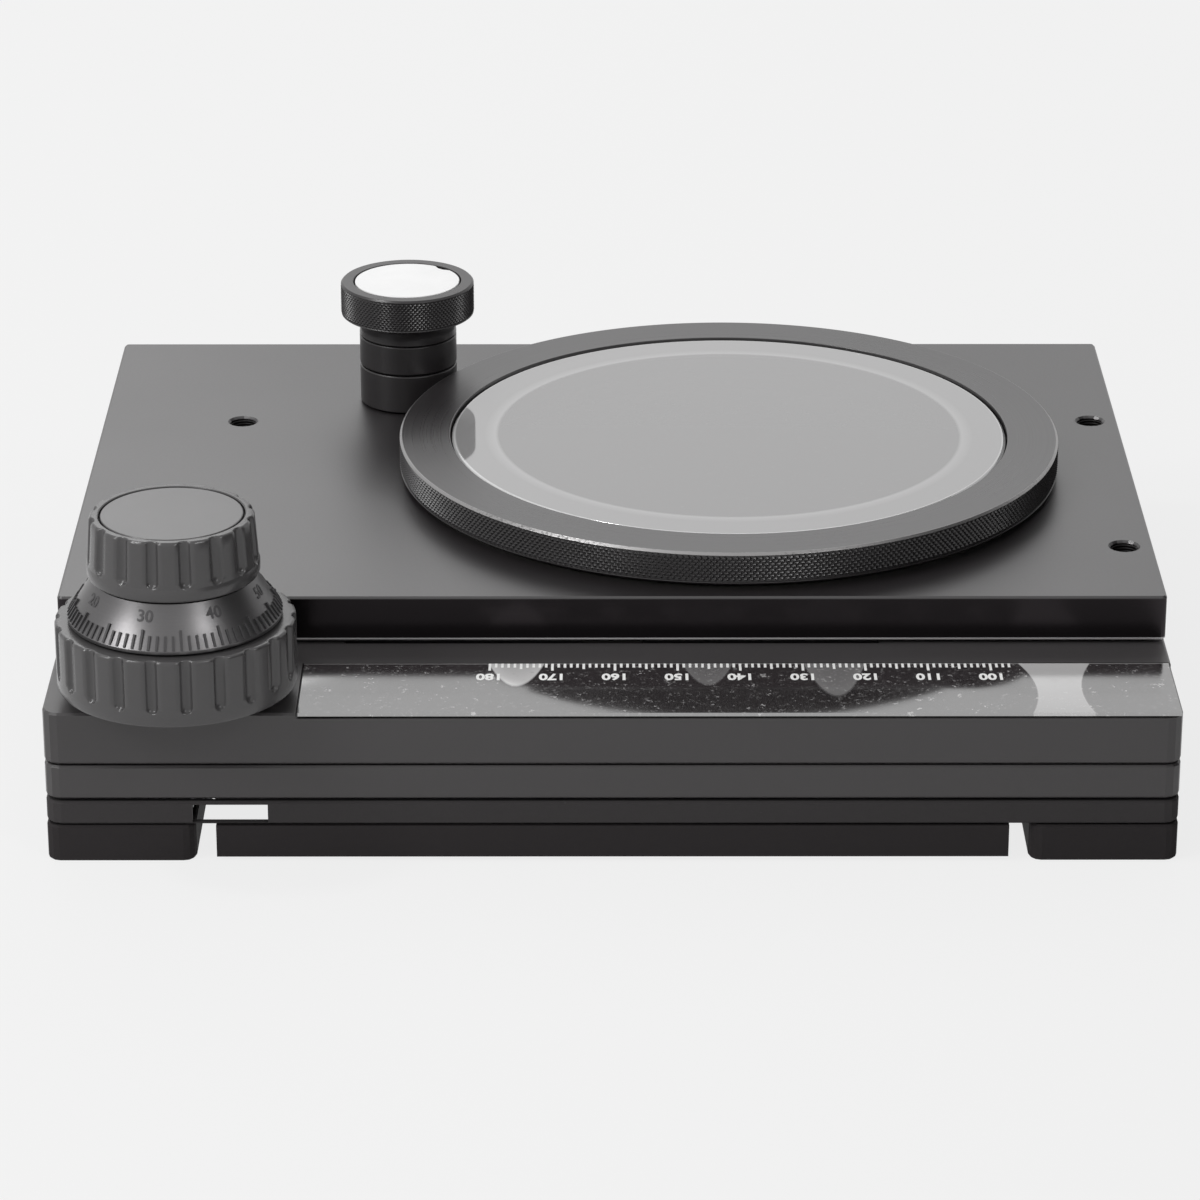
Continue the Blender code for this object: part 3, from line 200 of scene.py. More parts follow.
class Graph:
    """Adds nodes to one shader or geometry tree."""

    def __init__(self, tree: bpy.types.NodeTree) -> None:
        """Keep the tree that gets the nodes."""
        self.tree = tree

    def feed(self, socket: bpy.types.NodeSocket, value: object) -> None:
        """Set an input socket to a plain value, or link a signal to it.

        Args:
            socket: The input socket.
            value: A plain value or a signal.
        """
        if isinstance(value, Signal):
            self.tree.links.new(value.socket, socket)
        else:
            socket.default_value = value

    def node(self, kind: str, values: dict[str | int, object] | None = None,
             out: str | int = 0, **settings: object) -> Signal:
        """Add one node.

        Args:
            kind: The node's type name.
            values: Values or signals for the input sockets.
            out: The output that is wanted.
            settings: What is set on the node itself, before its sockets.

        Returns:
            The wanted output.
        """
        node = self.tree.nodes.new(kind)
        for key, value in settings.items():
            setattr(node, key, value)
        for key, value in (values or {}).items():
            self.feed(node.inputs[key], value)
        return Signal(self, node.outputs[out])

    def maths(self, operation: str, *values: Signal | float) -> Signal:
        """Add a Math node on signals or numbers."""
        return self.node("ShaderNodeMath", dict(enumerate(values)), operation=operation)

    def combine(self, x: Signal | float, y: Signal | float, z: Signal | float) -> Signal:
        """Join three numbers into a vector."""
        return self.node("ShaderNodeCombineXYZ", {0: x, 1: y, 2: z})

    def split(self, value: Signal) -> tuple[Signal, Signal, Signal]:
        """Split a vector into its three numbers."""
        first = self.node("ShaderNodeSeparateXYZ", {0: value})
        return first, first.also("Y"), first.also("Z")

    def on_circle(self, centre: Point, radius: Signal, turn: Signal, height: Signal) -> Signal:
        """Give the place at a radius, a turn and a height round an upright axis."""
        return self.combine(turn.maths("COSINE") * radius + centre[0],
                            turn.maths("SINE") * radius + centre[1], height)


class Surface(Graph):
    """A material's tree with its Principled shader."""

    def __init__(self, material: bpy.types.Material) -> None:
        """Open a material's tree.

        Args:
            material: The material, new or with nodes.
        """
        material.use_nodes = True
        super().__init__(material.node_tree)
        self.shader = material.node_tree.nodes["Principled BSDF"]

    def give(self, values: dict[str, object]) -> None:
        """Set or link inputs of the shader by their names."""
        for label, value in values.items():
            self.feed(self.shader.inputs[label], value)

    def place(self) -> Signal:
        """Give the place on the object."""
        return self.node("ShaderNodeTexCoord", out="Object")

    def around(self, place: Signal, centre: Point) -> tuple[Signal, Signal]:
        """Give the distance from an upright axis, and the height.

        Args:
            place: The place on the object.
            centre: Where the axis stands.

        Returns:
            The distance and the height.
        """
        away = (-centre[0], -centre[1], 0.0)
        x, y, z = self.split(self.node("ShaderNodeMapping", {"Vector": place, "Location": away}))
        return (x * x + y * y).maths("SQRT"), z

    def noise(self, place: Signal, scale: float, detail: float = 2.0,
              roughness: float = 0.5) -> Signal:
        """Add a noise texture whose scale counts features in each metre."""
        return self.node("ShaderNodeTexNoise", {"Vector": place, "Scale": scale,
                                                "Detail": detail, "Roughness": roughness})

    def mix(self, share: Signal, first: Signal | Colour, second: Signal | Colour) -> Signal:
        """Mix two colours, each plain or a signal, by the share of the second."""
        return self.node("ShaderNodeMix", {0: share, 6: full(first), 7: full(second)}, 2,
                         data_type="RGBA")

    def mottled(self, colour: Colour, shade: Signal, dark: float, light: float) -> Signal:
        """Darken and lighten a colour by a pattern.

        Args:
            colour: The middle colour.
            shade: The pattern, 0 being dark and 1 light.
            dark: What the colour is multiplied by where it is darkest.
            light: What it is multiplied by where it is lightest.

        Returns:
            The mottled colour.
        """
        return self.mix(limited(shade, 0.0, 1.0), times(colour, dark), times(colour, light))

    def bump(self, height: Signal, depth: float, strength: float) -> None:
        """Roughen the surface.

        Args:
            height: The height pattern, from 0 to 1.
            depth: The height of a full step, in metres.
            strength: How much of it shows.
        """
        self.give({"Normal": self.node("ShaderNodeBump", {"Strength": strength, "Distance": depth,
                                                          "Height": height})})


def full(colour: Signal | Colour) -> object:
    """Give a plain colour its alpha, and leave a signal as it is."""
    return colour if isinstance(colour, Signal) else (*colour, 1.0)


def times(colour: Colour, factor: float) -> Colour:
    """Multiply a plain colour."""
    return tuple(factor * part for part in colour)


def limited(signal: Signal, low: float, high: float) -> Signal:
    """Stretch what lies between low and high to 0..1, and clamp the rest."""
    return signal.graph.node("ShaderNodeMapRange",
                             {"Value": signal, "From Min": low, "From Max": high}, clamp=True)


# Finishes


@dataclass(frozen=True)
class Finish:
    """A surface finish, made into one material that its pieces share."""

    name: str
    colour: Colour
    roughness: float
    metallic: float = 0.0
    ior: float = 1.5

    def material(self) -> bpy.types.Material:
        """Give the finish's material, and make it at its first use.

        Returns:
            The material.
        """
        found = bpy.data.materials.get(self.name)
        if found is not None:
            return found
        made = bpy.data.materials.new(self.name)
        made.diffuse_color = full(self.colour)
        surface = Surface(made)
        surface.give({"Base Color": full(self.colour), "Roughness": self.roughness,
                      "Metallic": self.metallic, "IOR": self.ior})
        self.pattern(surface)
        return made

    def pattern(self, surface: Surface) -> None:
        """Add what changes over the surface."""


@dataclass(frozen=True)
class Anodised(Finish):
    """Bead-blasted and anodised aluminium: fine grain, slight clouding and pale dust."""

    clouding: float = 0.12
    grain: float = 0.16
    dust: float = 0.25
    grain_depth: float = 0.03 * MM
    face_height: float = 0.0
    side_roughness: float = 0.2
    # the sides' colour, with full metallic, darkens them as painted shade
    side_colour: Colour = (0.034, 0.03, 0.032)
    # a pale line along the sides' foot is a painted highlight
    worn_height: float = 0.0
    worn_colour: Colour = (0.66, 0.65, 0.655)

    def pattern(self, surface: Surface) -> None:
        """Add clouding, grain and dust; below a lapped face, smoother sides darkened as painted
        shade, with a painted highlight line along their foot.

        Args:
            surface: The material's tree.
        """
        place = surface.place()
        cloud = surface.noise(place, 16.0, 3.0)
        grain = surface.noise(place, 2600.0, 3.0, 0.7)
        speck = limited(surface.noise(place, 620.0, 4.0, 0.75), 0.69, 0.76)
        shade = (cloud - 0.5) * self.clouding + (grain - 0.5) * self.grain + 0.5
        tone = surface.mottled(self.colour, shade, 0.62, 1.38)
        pale = tuple(2.2 * part + 0.02 for part in self.colour)
        rough = self.roughness + (cloud - 0.5) * 0.12 + (grain - 0.5) * 0.1 + speck * 0.1
        if self.face_height:
            height = surface.split(place)[2]
            # sides below the lapped face: smoother, and darkened by colour and metallic as painted
            # shade
            side = 1.0 - limited(height, self.face_height - 0.5 * MM, self.face_height - 0.2 * MM)
            rough = rough - side * (self.roughness - self.side_roughness)
            # painted highlight line along the foot of the sides, broken up by the grain
            wear_and_highlight = 1.0 - limited(height, self.worn_height + 0.45 * MM, self.worn_height + 0.6 * MM)
            tone = surface.mix(side, tone, self.side_colour)
            tone = surface.mix(wear_and_highlight * limited(grain + cloud, 0.5, 0.9), tone, self.worn_colour)
            surface.give({"Metallic": side * (1.0 - wear_and_highlight)})
        surface.give({"Base Color": surface.mix(speck * self.dust, tone, pale),
                      "Roughness": rough})
        surface.bump(grain * 0.8 + speck * 0.2, self.grain_depth, 0.35)


@dataclass(frozen=True)
class TurnedMetal(Finish):
    """Metal from a lathe: fine rings round the piece's own axis over a satin surface."""

    centre: Point = (0.0, 0.0)
    pitch: float = 0.09 * MM
    line_depth: float = 0.006 * MM
    contrast: float = 0.14
    edge_radius: float = 0.0
    edge_height: float = 0.0
    edge_colour: Colour = (0.3, 0.295, 0.295)
    streak: float = 0.0

    def pattern(self, surface: Surface) -> None:
        """Add the turning lines, and bare metal on the chamfer where the finish has one.

        Args:
            surface: The material's tree.
        """
        place = surface.place()
        radius, height = surface.around(place, self.centre)
        along = surface.combine(radius / self.pitch, height / self.pitch, 0.0)
        lines = surface.noise(along, 0.55, 2.0, 0.6)
        grain = surface.noise(place, 2400.0)
        cloud = surface.noise(place, 30.0)
        shade = 0.5 + (lines - 0.5) * self.contrast + (cloud - 0.5) * 0.16 + (grain - 0.5) * 0.08
        tone = surface.mottled(self.colour, shade, 0.6, 1.4)
        if self.edge_radius:
            corner = self.edge_radius + self.edge_height
            edge = limited(radius + height, corner - 0.72 * MM, corner - 0.58 * MM)
            edge = edge * limited(radius, self.edge_radius - 0.55 * MM,
                                  self.edge_radius - 0.45 * MM)
            edge = edge * limited(grain + cloud, 0.6, 0.9)
            tone = surface.mix(edge, tone, self.edge_colour)
            surface.give({"Metallic": edge * 0.9 + self.metallic})
        rough = self.roughness + (lines - 0.5) * 0.14 + (cloud - 0.5) * 0.08
        surface.give({"Base Color": tone, "Roughness": rough, "Anisotropic": self.streak})
        surface.bump(lines * 0.8 + grain * 0.2, self.line_depth, 0.5)


@dataclass(frozen=True)
class Moulded(Finish):
    """Moulded plastic with a fine spark-eroded skin."""

    grain_depth: float = 0.02 * MM

    def pattern(self, surface: Surface) -> None:
        """Add the skin and the handling marks.

        Args:
            surface: The material's tree.
        """
        place = surface.place()
        skin = surface.noise(place, 3200.0, 2.0, 0.6)
        rubbed = surface.noise(place, 120.0, 3.0, 0.6)
        shade = 0.5 + (skin - 0.5) * 0.1 + (rubbed - 0.5) * 0.2
        surface.give({"Base Color": surface.mottled(self.colour, shade, 0.65, 1.35),
                      "Roughness": self.roughness + (rubbed - 0.5) * 0.1})
        surface.bump(skin, self.grain_depth, 0.3)


@dataclass(frozen=True)
class Blister:
    """A painted reflection patch, a round-ended tongue that starts at the strip's back edge."""

    middle: float
    half: float
    reach: float
    tone: float


@dataclass(frozen=True)
class Neck:
    """A painted reflection band across the strip, with a waist half way."""

    middle: float
    waist: float
    half: float
    centre: float
    tone: float


@dataclass(frozen=True)
class Film(Finish):
    """Glossy printed film with specks in it, lifted along its back edge, with painted reflection
    patches in a few places and a painted highlight line along the back edge.
    """

    speck_colour: Colour = (0.6, 0.59, 0.59)
    # colour of the painted reflection patches and of the painted highlight along the back edge
    lifted_colour: Colour = (0.9, 0.89, 0.89)
    back: float = 0.0
    blisters: tuple[Blister, ...] = ()
    neck: Neck = Neck(0.0, MM, MM, MM, 0.0)
    curl_line: float = 0.0
    curl_rate: float = 4700.0
    flat_zone: tuple[float, float] = (0.0, 0.0)
    curl_fade: float = 8.0 * MM

    def pale(self, x: Signal, y: Signal) -> Signal:
        """Give the share of painted reflection on the film: the patches, the neck band and a
        painted highlight line along the back edge.

        Args:
            x: The place across the strip.
            y: The place along its depth.

        Returns:
            The paleness, from 0 to 1.
        """
        depth = self.back - y
        # painted highlight line along the back edge
        edge = limited(depth, 0.35 * MM, 0.15 * MM)
        total: Signal | float = 0.0
        for reflection_patch in self.blisters:
            across = (x - reflection_patch.middle) / reflection_patch.half
            inside = 1.0 - across * across - depth / reflection_patch.reach
            shape = limited(inside, 0.0, 0.1) * reflection_patch.tone
            total = total + shape * (1.0 - limited(inside, 0.0, 1.0) * 0.3)
        neck = self.neck
        bend = (depth - neck.centre) / neck.centre
        width = bend * bend * (neck.half - neck.waist) + neck.waist
        away = width - (x - neck.middle).maths("ABSOLUTE")
        shape = limited(away, 0.0, 0.25 * MM) * neck.tone
        total = total + shape * (1.3 - depth / neck.centre * 0.35)
        return total.maths("MAXIMUM", edge * 0.34).maths("MINIMUM", 1.0)

    def pattern(self, surface: Surface) -> None:
        """Add the specks, the painted reflection patches and back-edge highlight, a slight ripple
        and the lifted back edge.

        Args:
            surface: The material's tree.
        """
        place = surface.place()
        x, y, _ = surface.split(place)
        specks = limited(surface.noise(place, 1500.0, 3.0, 0.7), 0.58, 0.74)
        flecks = limited(surface.noise(place, 640.0, 4.0, 0.75), 0.62, 0.68)
        ripple = surface.noise(place, 90.0)
        tone = surface.mix(limited(ripple, 0.3, 0.7) * 0.25, self.colour, times(self.colour, 1.5))
        # painted reflection patches and back-edge highlight
        tone = surface.mix(self.pale(x, y), tone, self.lifted_colour)
        dust = (specks * 0.42).maths("MAXIMUM", flecks * 0.8)
        surface.give({"Base Color": surface.mix(dust, tone, self.speck_colour),
                      "Roughness": self.roughness + specks * 0.12 + (ripple - 0.5) * 0.04})
        rise = (y - self.curl_line).maths("MAXIMUM", 0.0)
        left, right = self.flat_zone
        share = (1.0 - limited(x, left, left + self.curl_fade)
                 + limited(x, right - self.curl_fade, right))
        height = (ripple * 0.8 + specks * 0.2) * 0.0008 + rise * rise * share * self.curl_rate
        surface.bump(height, 1.0 * MM, 1.0)


@dataclass(frozen=True)
class Paint(Finish):
    """Filled enamel of the marks, worn a little."""

    def pattern(self, surface: Surface) -> None:
        """Add slight wear.

        Args:
            surface: The material's tree.
        """
        wear = limited(surface.noise(surface.place(), 1800.0, 3.0, 0.6), 0.35, 0.8)
        wear_and_highlight = tuple(0.78 * part + 0.02 for part in self.colour)
        surface.give({"Base Color": surface.mix(wear * 0.5, self.colour, wear_and_highlight),
                      "Roughness": self.roughness + wear * 0.15})
        surface.bump(wear, 0.01 * MM, 0.2)


@dataclass(frozen=True)
class Machined(Finish):
    """Ground steel or brass: short random scratches over a bright surface."""

    def pattern(self, surface: Surface) -> None:
        """Add the grinding marks.

        Args:
            surface: The material's tree.
        """
        place = surface.place()
        stretched = surface.node("ShaderNodeVectorMath", {0: place, 1: (1.0, 0.08, 1.0)},
                                 operation="MULTIPLY")
        marks = surface.noise(stretched, 3000.0, 3.0, 0.7)
        film = surface.noise(place, 60.0)
        shade = 0.5 + (marks - 0.5) * 0.3 + (film - 0.5) * 0.25
        rough = self.roughness + (film - 0.5) * 0.14 + (marks - 0.5) * 0.1
        surface.give({"Base Color": surface.mottled(self.colour, shade, 0.72, 1.25),
                      "Roughness": rough})
        surface.bump(marks, 0.01 * MM, 0.25)


@dataclass(frozen=True)
class OpalGlass(Finish):
    """Ground glass insert: see-through in part, painted paler over its seat as the seat's painted
    reflection, with painted highlight lines at the seat's rim and the edge.
    """

    centre: Point = (0.0, 0.0)
    seat_radius: float = 40.0 * MM
    # the glass over the seat is painted paler, as the seat's painted reflection
    seat_colour: Colour = (0.3, 0.297, 0.298)
    # a painted highlight line just outside the seat's rim
    lip_colour: Colour = (0.38, 0.377, 0.378)
    # the edge band is a painted highlight on the ground edge
    edge_radius: float = 47.8 * MM
    edge_colour: Colour = (0.62, 0.62, 0.62)
    dust_colour: Colour = (0.6, 0.6, 0.6)
    cover: float = 0.92
    seat_cover: float = 0.96

    def pattern(self, surface: Surface) -> None:
        """Add the painted reflection over the seat ring, the painted highlight lines at its rim
        and the edge, faint dust and the see-through share.

        Args:
            surface: The material's tree.
        """
        place = surface.place()
        radius, _ = surface.around(place, self.centre)
        # the seat ring is painted paler as the seat's reflection through the glass; lip and edge
        # are painted highlight lines
        seat = limited(radius, self.seat_radius - 0.3 * MM, self.seat_radius + 0.3 * MM)
        dust = limited(surface.noise(place, 700.0, 4.0, 0.7), 0.6, 0.8)
        film = surface.noise(place, 24.0, 3.0)
        edge = limited(radius, self.edge_radius - 0.75 * MM, self.edge_radius - 0.45 * MM)
        lip_highlight = seat * (1.0 - limited(radius, self.seat_radius + 0.5 * MM,
                                    self.seat_radius + 2.2 * MM))
        tone = surface.mix(seat, self.colour, self.seat_colour)
        tone = surface.mix(lip_highlight, tone, self.lip_colour)
        tone = surface.mix(edge, tone, self.edge_colour)
        surface.give({"Base Color": surface.mix(dust * 0.06, tone, self.dust_colour),
                      "Roughness": self.roughness + (film - 0.5) * 0.04 + dust * 0.1,
                      "Alpha": seat * (self.seat_cover - self.cover) + self.cover,
                      "Coat Weight": 1.0, "Coat Roughness": 0.02})


@dataclass(frozen=True)
class Felt(Finish):
    """Felt of the card that keeps light off one side of the set."""

    def pattern(self, surface: Surface) -> None:
        """Add the felt's nap.

        Args:
            surface: The material's tree.
        """
        nap = surface.noise(surface.place(), 900.0, 3.0)
        surface.give({"Base Color": surface.mix(nap, self.colour, times(self.colour, 2.0))})
        surface.bump(nap, 0.2 * MM, 0.3)


KNOB_CENTRE = (-68.9 * MM, -62.15 * MM)
RING_CENTRE = (20.3 * MM, 17.65 * MM)
POST_CENTRE = (-36.2136 * MM, 51.7412 * MM)

CARRIAGE_BLACK = Anodised("black carriage anodising", (0.046, 0.043, 0.044), 0.4)
# base and feet: copies of the black anodising made darker and duller, as painted shade on the
# lower parts
BASE_SHADE_BLACK = Anodised("black base anodising", (0.052, 0.049, 0.05), 0.5, ior=1.06)
FOOT_SHADE_BLACK = Anodised("black foot anodising", (0.035, 0.032, 0.033), 0.5, ior=1.06)
# inner pieces and the clip holes' threads: black anodising darkened far below the rest, as painted
# shade
INNER_SHADE_BLACK = Anodised("black inner anodising", (0.006, 0.005, 0.005), 0.5, ior=1.3)
# top plate: sides darkened as painted shade, with a painted highlight line along their foot
TOP = Anodised("top plate anodising", (0.012, 0.01, 0.011), 0.38, ior=1.8, clouding=0.06,
               grain=0.08, dust=0.12, grain_depth=0.01 * MM, face_height=33.9 * MM,
               worn_height=26.2 * MM)
RING_BLACK = TurnedMetal("turned ring anodising", (0.02, 0.018, 0.019), 0.3, ior=1.66,
                         centre=RING_CENTRE, edge_radius=56.9 * MM, edge_height=40.5 * MM,
                         streak=0.35)
POST_BLACK = TurnedMetal("turned post anodising", (0.02, 0.018, 0.019), 0.34,
                         centre=POST_CENTRE)
KNURL = Anodised("knurled anodising", (0.02, 0.018, 0.019), 0.34, ior=1.55, dust=0.5)
KNOB = Moulded("knob moulding", (0.06, 0.058, 0.059), 0.24)
CAP = Moulded("knob cap moulding", (0.06, 0.058, 0.059), 0.3, ior=1.62)
DIAL = TurnedMetal("satin dial", (0.125, 0.122, 0.124), 0.3, 0.9, centre=KNOB_CENTRE,
                   streak=0.5)
DIAL_INK = Paint("dark filled marks", (0.04, 0.038, 0.04), 0.5)
WHITE_INK = Paint("white filled marks", (0.88, 0.88, 0.87), 0.5)
WHITE = Moulded("white disc moulding", (0.82, 0.82, 0.82), 0.45, grain_depth=0.005 * MM)
# scale strip: its pale patches and neck band are painted reflections, and its back edge carries a
# painted highlight line
SCALE = Film("scale strip film", (0.028, 0.024, 0.025), 0.085, ior=4.0, back=-49.75 * MM,
             blisters=(Blister(-15.4 * MM, 4.6 * MM, 9.4 * MM, 0.95),
                       Blister(15.3 * MM, 4.2 * MM, 9.1 * MM, 0.22),
                       Blister(35.7 * MM, 5.1 * MM, 13.6 * MM, 0.27)),
             neck=Neck(71.1 * MM, 3.7 * MM, 5.9 * MM, 11.0 * MM, 0.6),
             curl_line=-61.55 * MM, flat_zone=(-19.0 * MM, 66.0 * MM))
STEEL = Machined("ground steel", (0.56, 0.56, 0.57), 0.24, 1.0)
DARK_STEEL = Machined("blackened steel", (0.1, 0.1, 0.105), 0.34, 0.9)
BRASS = Machined("machined brass", (0.66, 0.5, 0.22), 0.3, 1.0)
NYLON = Moulded("glide nylon", (0.76, 0.75, 0.71), 0.5)
# stage glass: its seat ring is a painted reflection, its lip and edge painted highlights
GLASS = OpalGlass("ground stage glass", (0.225, 0.222, 0.223), 0.06, ior=1.9,
                  centre=RING_CENTRE)
BLACK_FELT = Felt("black felt", (0.012, 0.012, 0.012), 0.9)

SLOT_FINISHES: dict[Slot, Finish] = {
    Slot.BLACK: CARRIAGE_BLACK, Slot.TOP: TOP, Slot.RING: RING_BLACK, Slot.KNOB: KNOB,
    Slot.CAP: CAP, Slot.DIAL: DIAL, Slot.BEARING: STEEL, Slot.SCREW: DARK_STEEL,
    Slot.BRASS: BRASS, Slot.GLASS: GLASS, Slot.WHITE: WHITE, Slot.SCALE: SCALE,
    Slot.NYLON: NYLON}
# base, feet and inner pieces take darker copies of the black anodising, as painted shade
OWN_FINISHES: dict[str, Finish] = {
    "base_frame": BASE_SHADE_BLACK, "left_foot_rail": FOOT_SHADE_BLACK, "right_foot_rail": FOOT_SHADE_BLACK,
    "front_skirt": FOOT_SHADE_BLACK, "rear_skirt": FOOT_SHADE_BLACK, "wire_bracket": INNER_SHADE_BLACK,
    "ring_retainer": INNER_SHADE_BLACK, "y_rack": INNER_SHADE_BLACK, "y_pinion": DARK_STEEL}


# Shapes


def on_circle(centre: Point, radius: float, angle: float, height: float) -> Place:
    """Give the place at a radius, an angle and a height round an upright axis."""
    return (centre[0] + radius * math.cos(angle), centre[1] + radius * math.sin(angle), height)


def filleted(corners: Sequence[Place], steps: int = 4, closed: bool = True) -> list[Point]:
    """Round the corners of a section.

    Args:
        corners: (radius, height, fillet) of each corner, in order.
        steps: Facets in each rounded corner.
        closed: Whether the last corner joins the first.

    Returns:
        The points of the rounded section.
    """
    made: list[Point] = []
    count = len(corners)
    for index, (radius, height, fillet) in enumerate(corners):
        here = Vector((radius, height))
        if fillet <= 0.0 or (not closed and index in (0, count - 1)):
            made.append((radius, height))
            continue
        before = (Vector(corners[index - 1][:2]) - here).normalized()
        after = (Vector(corners[(index + 1) % count][:2]) - here).normalized()
        half = before.angle(after) / 2
        reach = fillet / math.tan(half)
        start, end = here + before * reach, here + after * reach
        hold = 0.15 * fillet
        centre = here + (before + after).normalized() * (fillet / math.sin(half))
        made.append(tuple(start + before * hold))
        for step in range(steps + 1):
            spoke = (start - centre).lerp(end - centre, step / steps).normalized()
            made.append(tuple(centre + spoke * fillet))
        made.append(tuple(end + after * hold))
    return made


def even_angles(count: int) -> list[float]:
    """Give evenly spaced angles round a circle."""
    return [math.tau * index / count for index in range(count)]


def turned(name: str, section: Sequence[Point], centre: Point, angles: Sequence[float],
           shares: Sequence[float] | None = None, closed: bool = True) -> bpy.types.Object:
    """Turn a section round an upright axis.

    Args:
        name: The new object's name.
        section: (radius, height) points, in order.
        centre: Where the axis stands.
        angles: The angles of the section's copies.
        shares: A number for each point of the section, kept as the attribute "share".
        closed: Whether the last point joins the first.

    Returns:
        The turned object.
    """
    bm = bmesh.new()
    layer = bm.verts.layers.float.new("share")
    columns: list[list[bmesh.types.BMVert]] = []
    poles: dict[int, bmesh.types.BMVert] = {}
    for angle in angles:
        column = []
        for index, (radius, height) in enumerate(section):
            vert = poles.get(index)
            if vert is None:
                vert = bm.verts.new(on_circle(centre, radius, angle, height))
                vert[layer] = shares[index] if shares else 0.0
                if radius <= POLE_RADIUS:
                    poles[index] = vert
            column.append(vert)
        columns.append(column)
    pairs = list(zip(range(len(section)), range(1, len(section))))
    if closed:
        pairs.append((len(section) - 1, 0))
    for left, right in zip(columns, columns[1:] + columns[:1]):
        for low, high in pairs:
            corners = list(dict.fromkeys((left[low], right[low], right[high], left[high])))
            if len(corners) > 2:
                bm.faces.new(corners)
    return linked(name, bm)


def linked(name: str, bm: bmesh.types.BMesh, smooth: bool = True) -> bpy.types.Object:
    """Turn a bmesh into an object of the scene.

    Args:
        name: The new object's name.
        bm: The shape, which is freed.
        smooth: Whether shallow edges are shaded smooth.

    Returns:
        The new object.
    """
    bmesh.ops.recalc_face_normals(bm, faces=bm.faces)
    mesh = bpy.data.meshes.new(name)
    bm.to_mesh(mesh)
    bm.free()
    if smooth:
        mesh.shade_smooth()
        mesh.set_sharp_from_angle(angle=SMOOTH_LIMIT)
    made = bpy.data.objects.new(name, mesh)
    bpy.context.scene.collection.objects.link(made)
    return made


def realised(obj: bpy.types.Object) -> bpy.types.Mesh:
    """Give what an object's modifiers or curves make, as a new plain mesh.

    Args:
        obj: The object, which keeps its own data.

    Returns:
        The new mesh.
    """
    bpy.context.view_layer.update()
    graph = bpy.context.evaluated_depsgraph_get()
    return bpy.data.meshes.new_from_object(obj.evaluated_get(graph), depsgraph=graph)


def coated(obj: bpy.types.Object, finish: Finish) -> bpy.types.Object:
    """Give a new object its finish.

    Args:
        obj: The object.
        finish: Its finish.

    Returns:
        The object.
    """
    obj.data.materials.clear()
    obj.data.materials.append(finish.material())
    return obj


def lathed(name: str, section: Sequence[Point], centre: Point, steps: int, finish: Finish,
           closed: bool = True) -> bpy.types.Object:
    """Turn a section in even steps and coat it.

    Args:
        name: The new object's name.
        section: (radius, height) points, in order.
        centre: Where the axis stands.
        steps: How many columns go round.
        finish: The piece's finish.
        closed: Whether the last point joins the first.

    Returns:
        The coated piece.
    """
    return coated(turned(name, section, centre, even_angles(steps), closed=closed), finish)


def fitted(obj: bpy.types.Object, body: Body, slot: Slot, *nodes: str) -> None:
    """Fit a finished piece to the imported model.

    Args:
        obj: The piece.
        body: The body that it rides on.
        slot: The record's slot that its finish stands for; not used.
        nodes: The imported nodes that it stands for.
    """
    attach(obj, body.value)
    if nodes:
        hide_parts(*nodes)
    log.info("%s rides on %s, %d faces", obj.name, body.value, len(obj.data.polygons))


class Pattern(Graph):
    """A Geometry Nodes tree with named inputs, run on one object and then made plain."""

    def __init__(self, name: str, sizes: dict[str, float | int], finish: Finish) -> None:
        """Make the empty tree.

        Args:
            name: The tree's name.
            sizes: The named inputs and their values.
            finish: The finish that the tree ends in.
        """
        super().__init__(bpy.data.node_groups.new(name, "GeometryNodeTree"))
        self.finish = finish
        self.values: dict[str, float | int] = {}
        sockets = self.tree.interface
        sockets.new_socket("Geometry", in_out="OUTPUT", socket_type="NodeSocketGeometry")
        sockets.new_socket("Shape", in_out="INPUT", socket_type="NodeSocketGeometry")
        for label, value in sizes.items():
            kind = "NodeSocketInt" if isinstance(value, int) else "NodeSocketFloat"
            socket = sockets.new_socket(label, in_out="INPUT", socket_type=kind)
            self.values[socket.identifier] = value
        self.start = self.node("NodeGroupInput", out="Shape")

    def size(self, label: str) -> Signal:
        """Give a named input."""
        return self.start.also(label)

    def mark_length(self, index: Signal) -> Signal:
        """Give a mark's length, with its own size at each five and each ten.

        Args:
            index: The marks' own numbers, counted from 0.

        Returns:
            Each mark's length.
        """
        size = self.size
        ten = (index % 10.0).maths("COMPARE", 0.0, 0.1)
        five = (index % 10.0).maths("COMPARE", 5.0, 0.1)
        return (size("Short") + ten * (size("Long") - size("Short"))
                + five * (size("Middle") - size("Short")))

    def run(self, obj: bpy.types.Object, shape: Signal) -> bpy.types.Object:
        """End the tree, run it on an object and keep the result.

        Args:
            obj: The object that the tree works on.
            shape: The tree's final geometry.

        Returns:
            The object, with a plain mesh.
        """
        whole = self.node("GeometryNodeRealizeInstances", {"Geometry": shape})
        dressed = self.node("GeometryNodeSetMaterial", {"Geometry": whole,
                                                        "Material": self.finish.material()})
        self.feed(self.tree.nodes.new("NodeGroupOutput").inputs[0], dressed)
        modifier = obj.modifiers.new("pattern", "NODES")
        modifier.node_group = self.tree
        for identifier, value in self.values.items():
            modifier[identifier] = value
        mesh = realised(obj)
        mesh.name = obj.name
        obj.modifiers.clear()
        obj.data = mesh
        return obj

    def set_out(self, name: str, count: Signal, place: Signal, shape: Signal,
                **turns: Signal) -> bpy.types.Object:
        """Set copies of a shape on points, as a new object.

        Args:
            name: The new object's name.
            count: How many points there are.
            place: Where each point lies.
            shape: What is copied.
            turns: The copies' Rotation and Scale.

        Returns:
            The object, with a plain mesh.
        """
        points = self.node("GeometryNodePoints", {"Count": count, "Position": place})
        copies = self.node("GeometryNodeInstanceOnPoints", {"Points": points, "Instance": shape,
                                                            **turns})
        return self.run(linked(name, bmesh.new(), smooth=False), copies)


# Knurls, marks and numbers


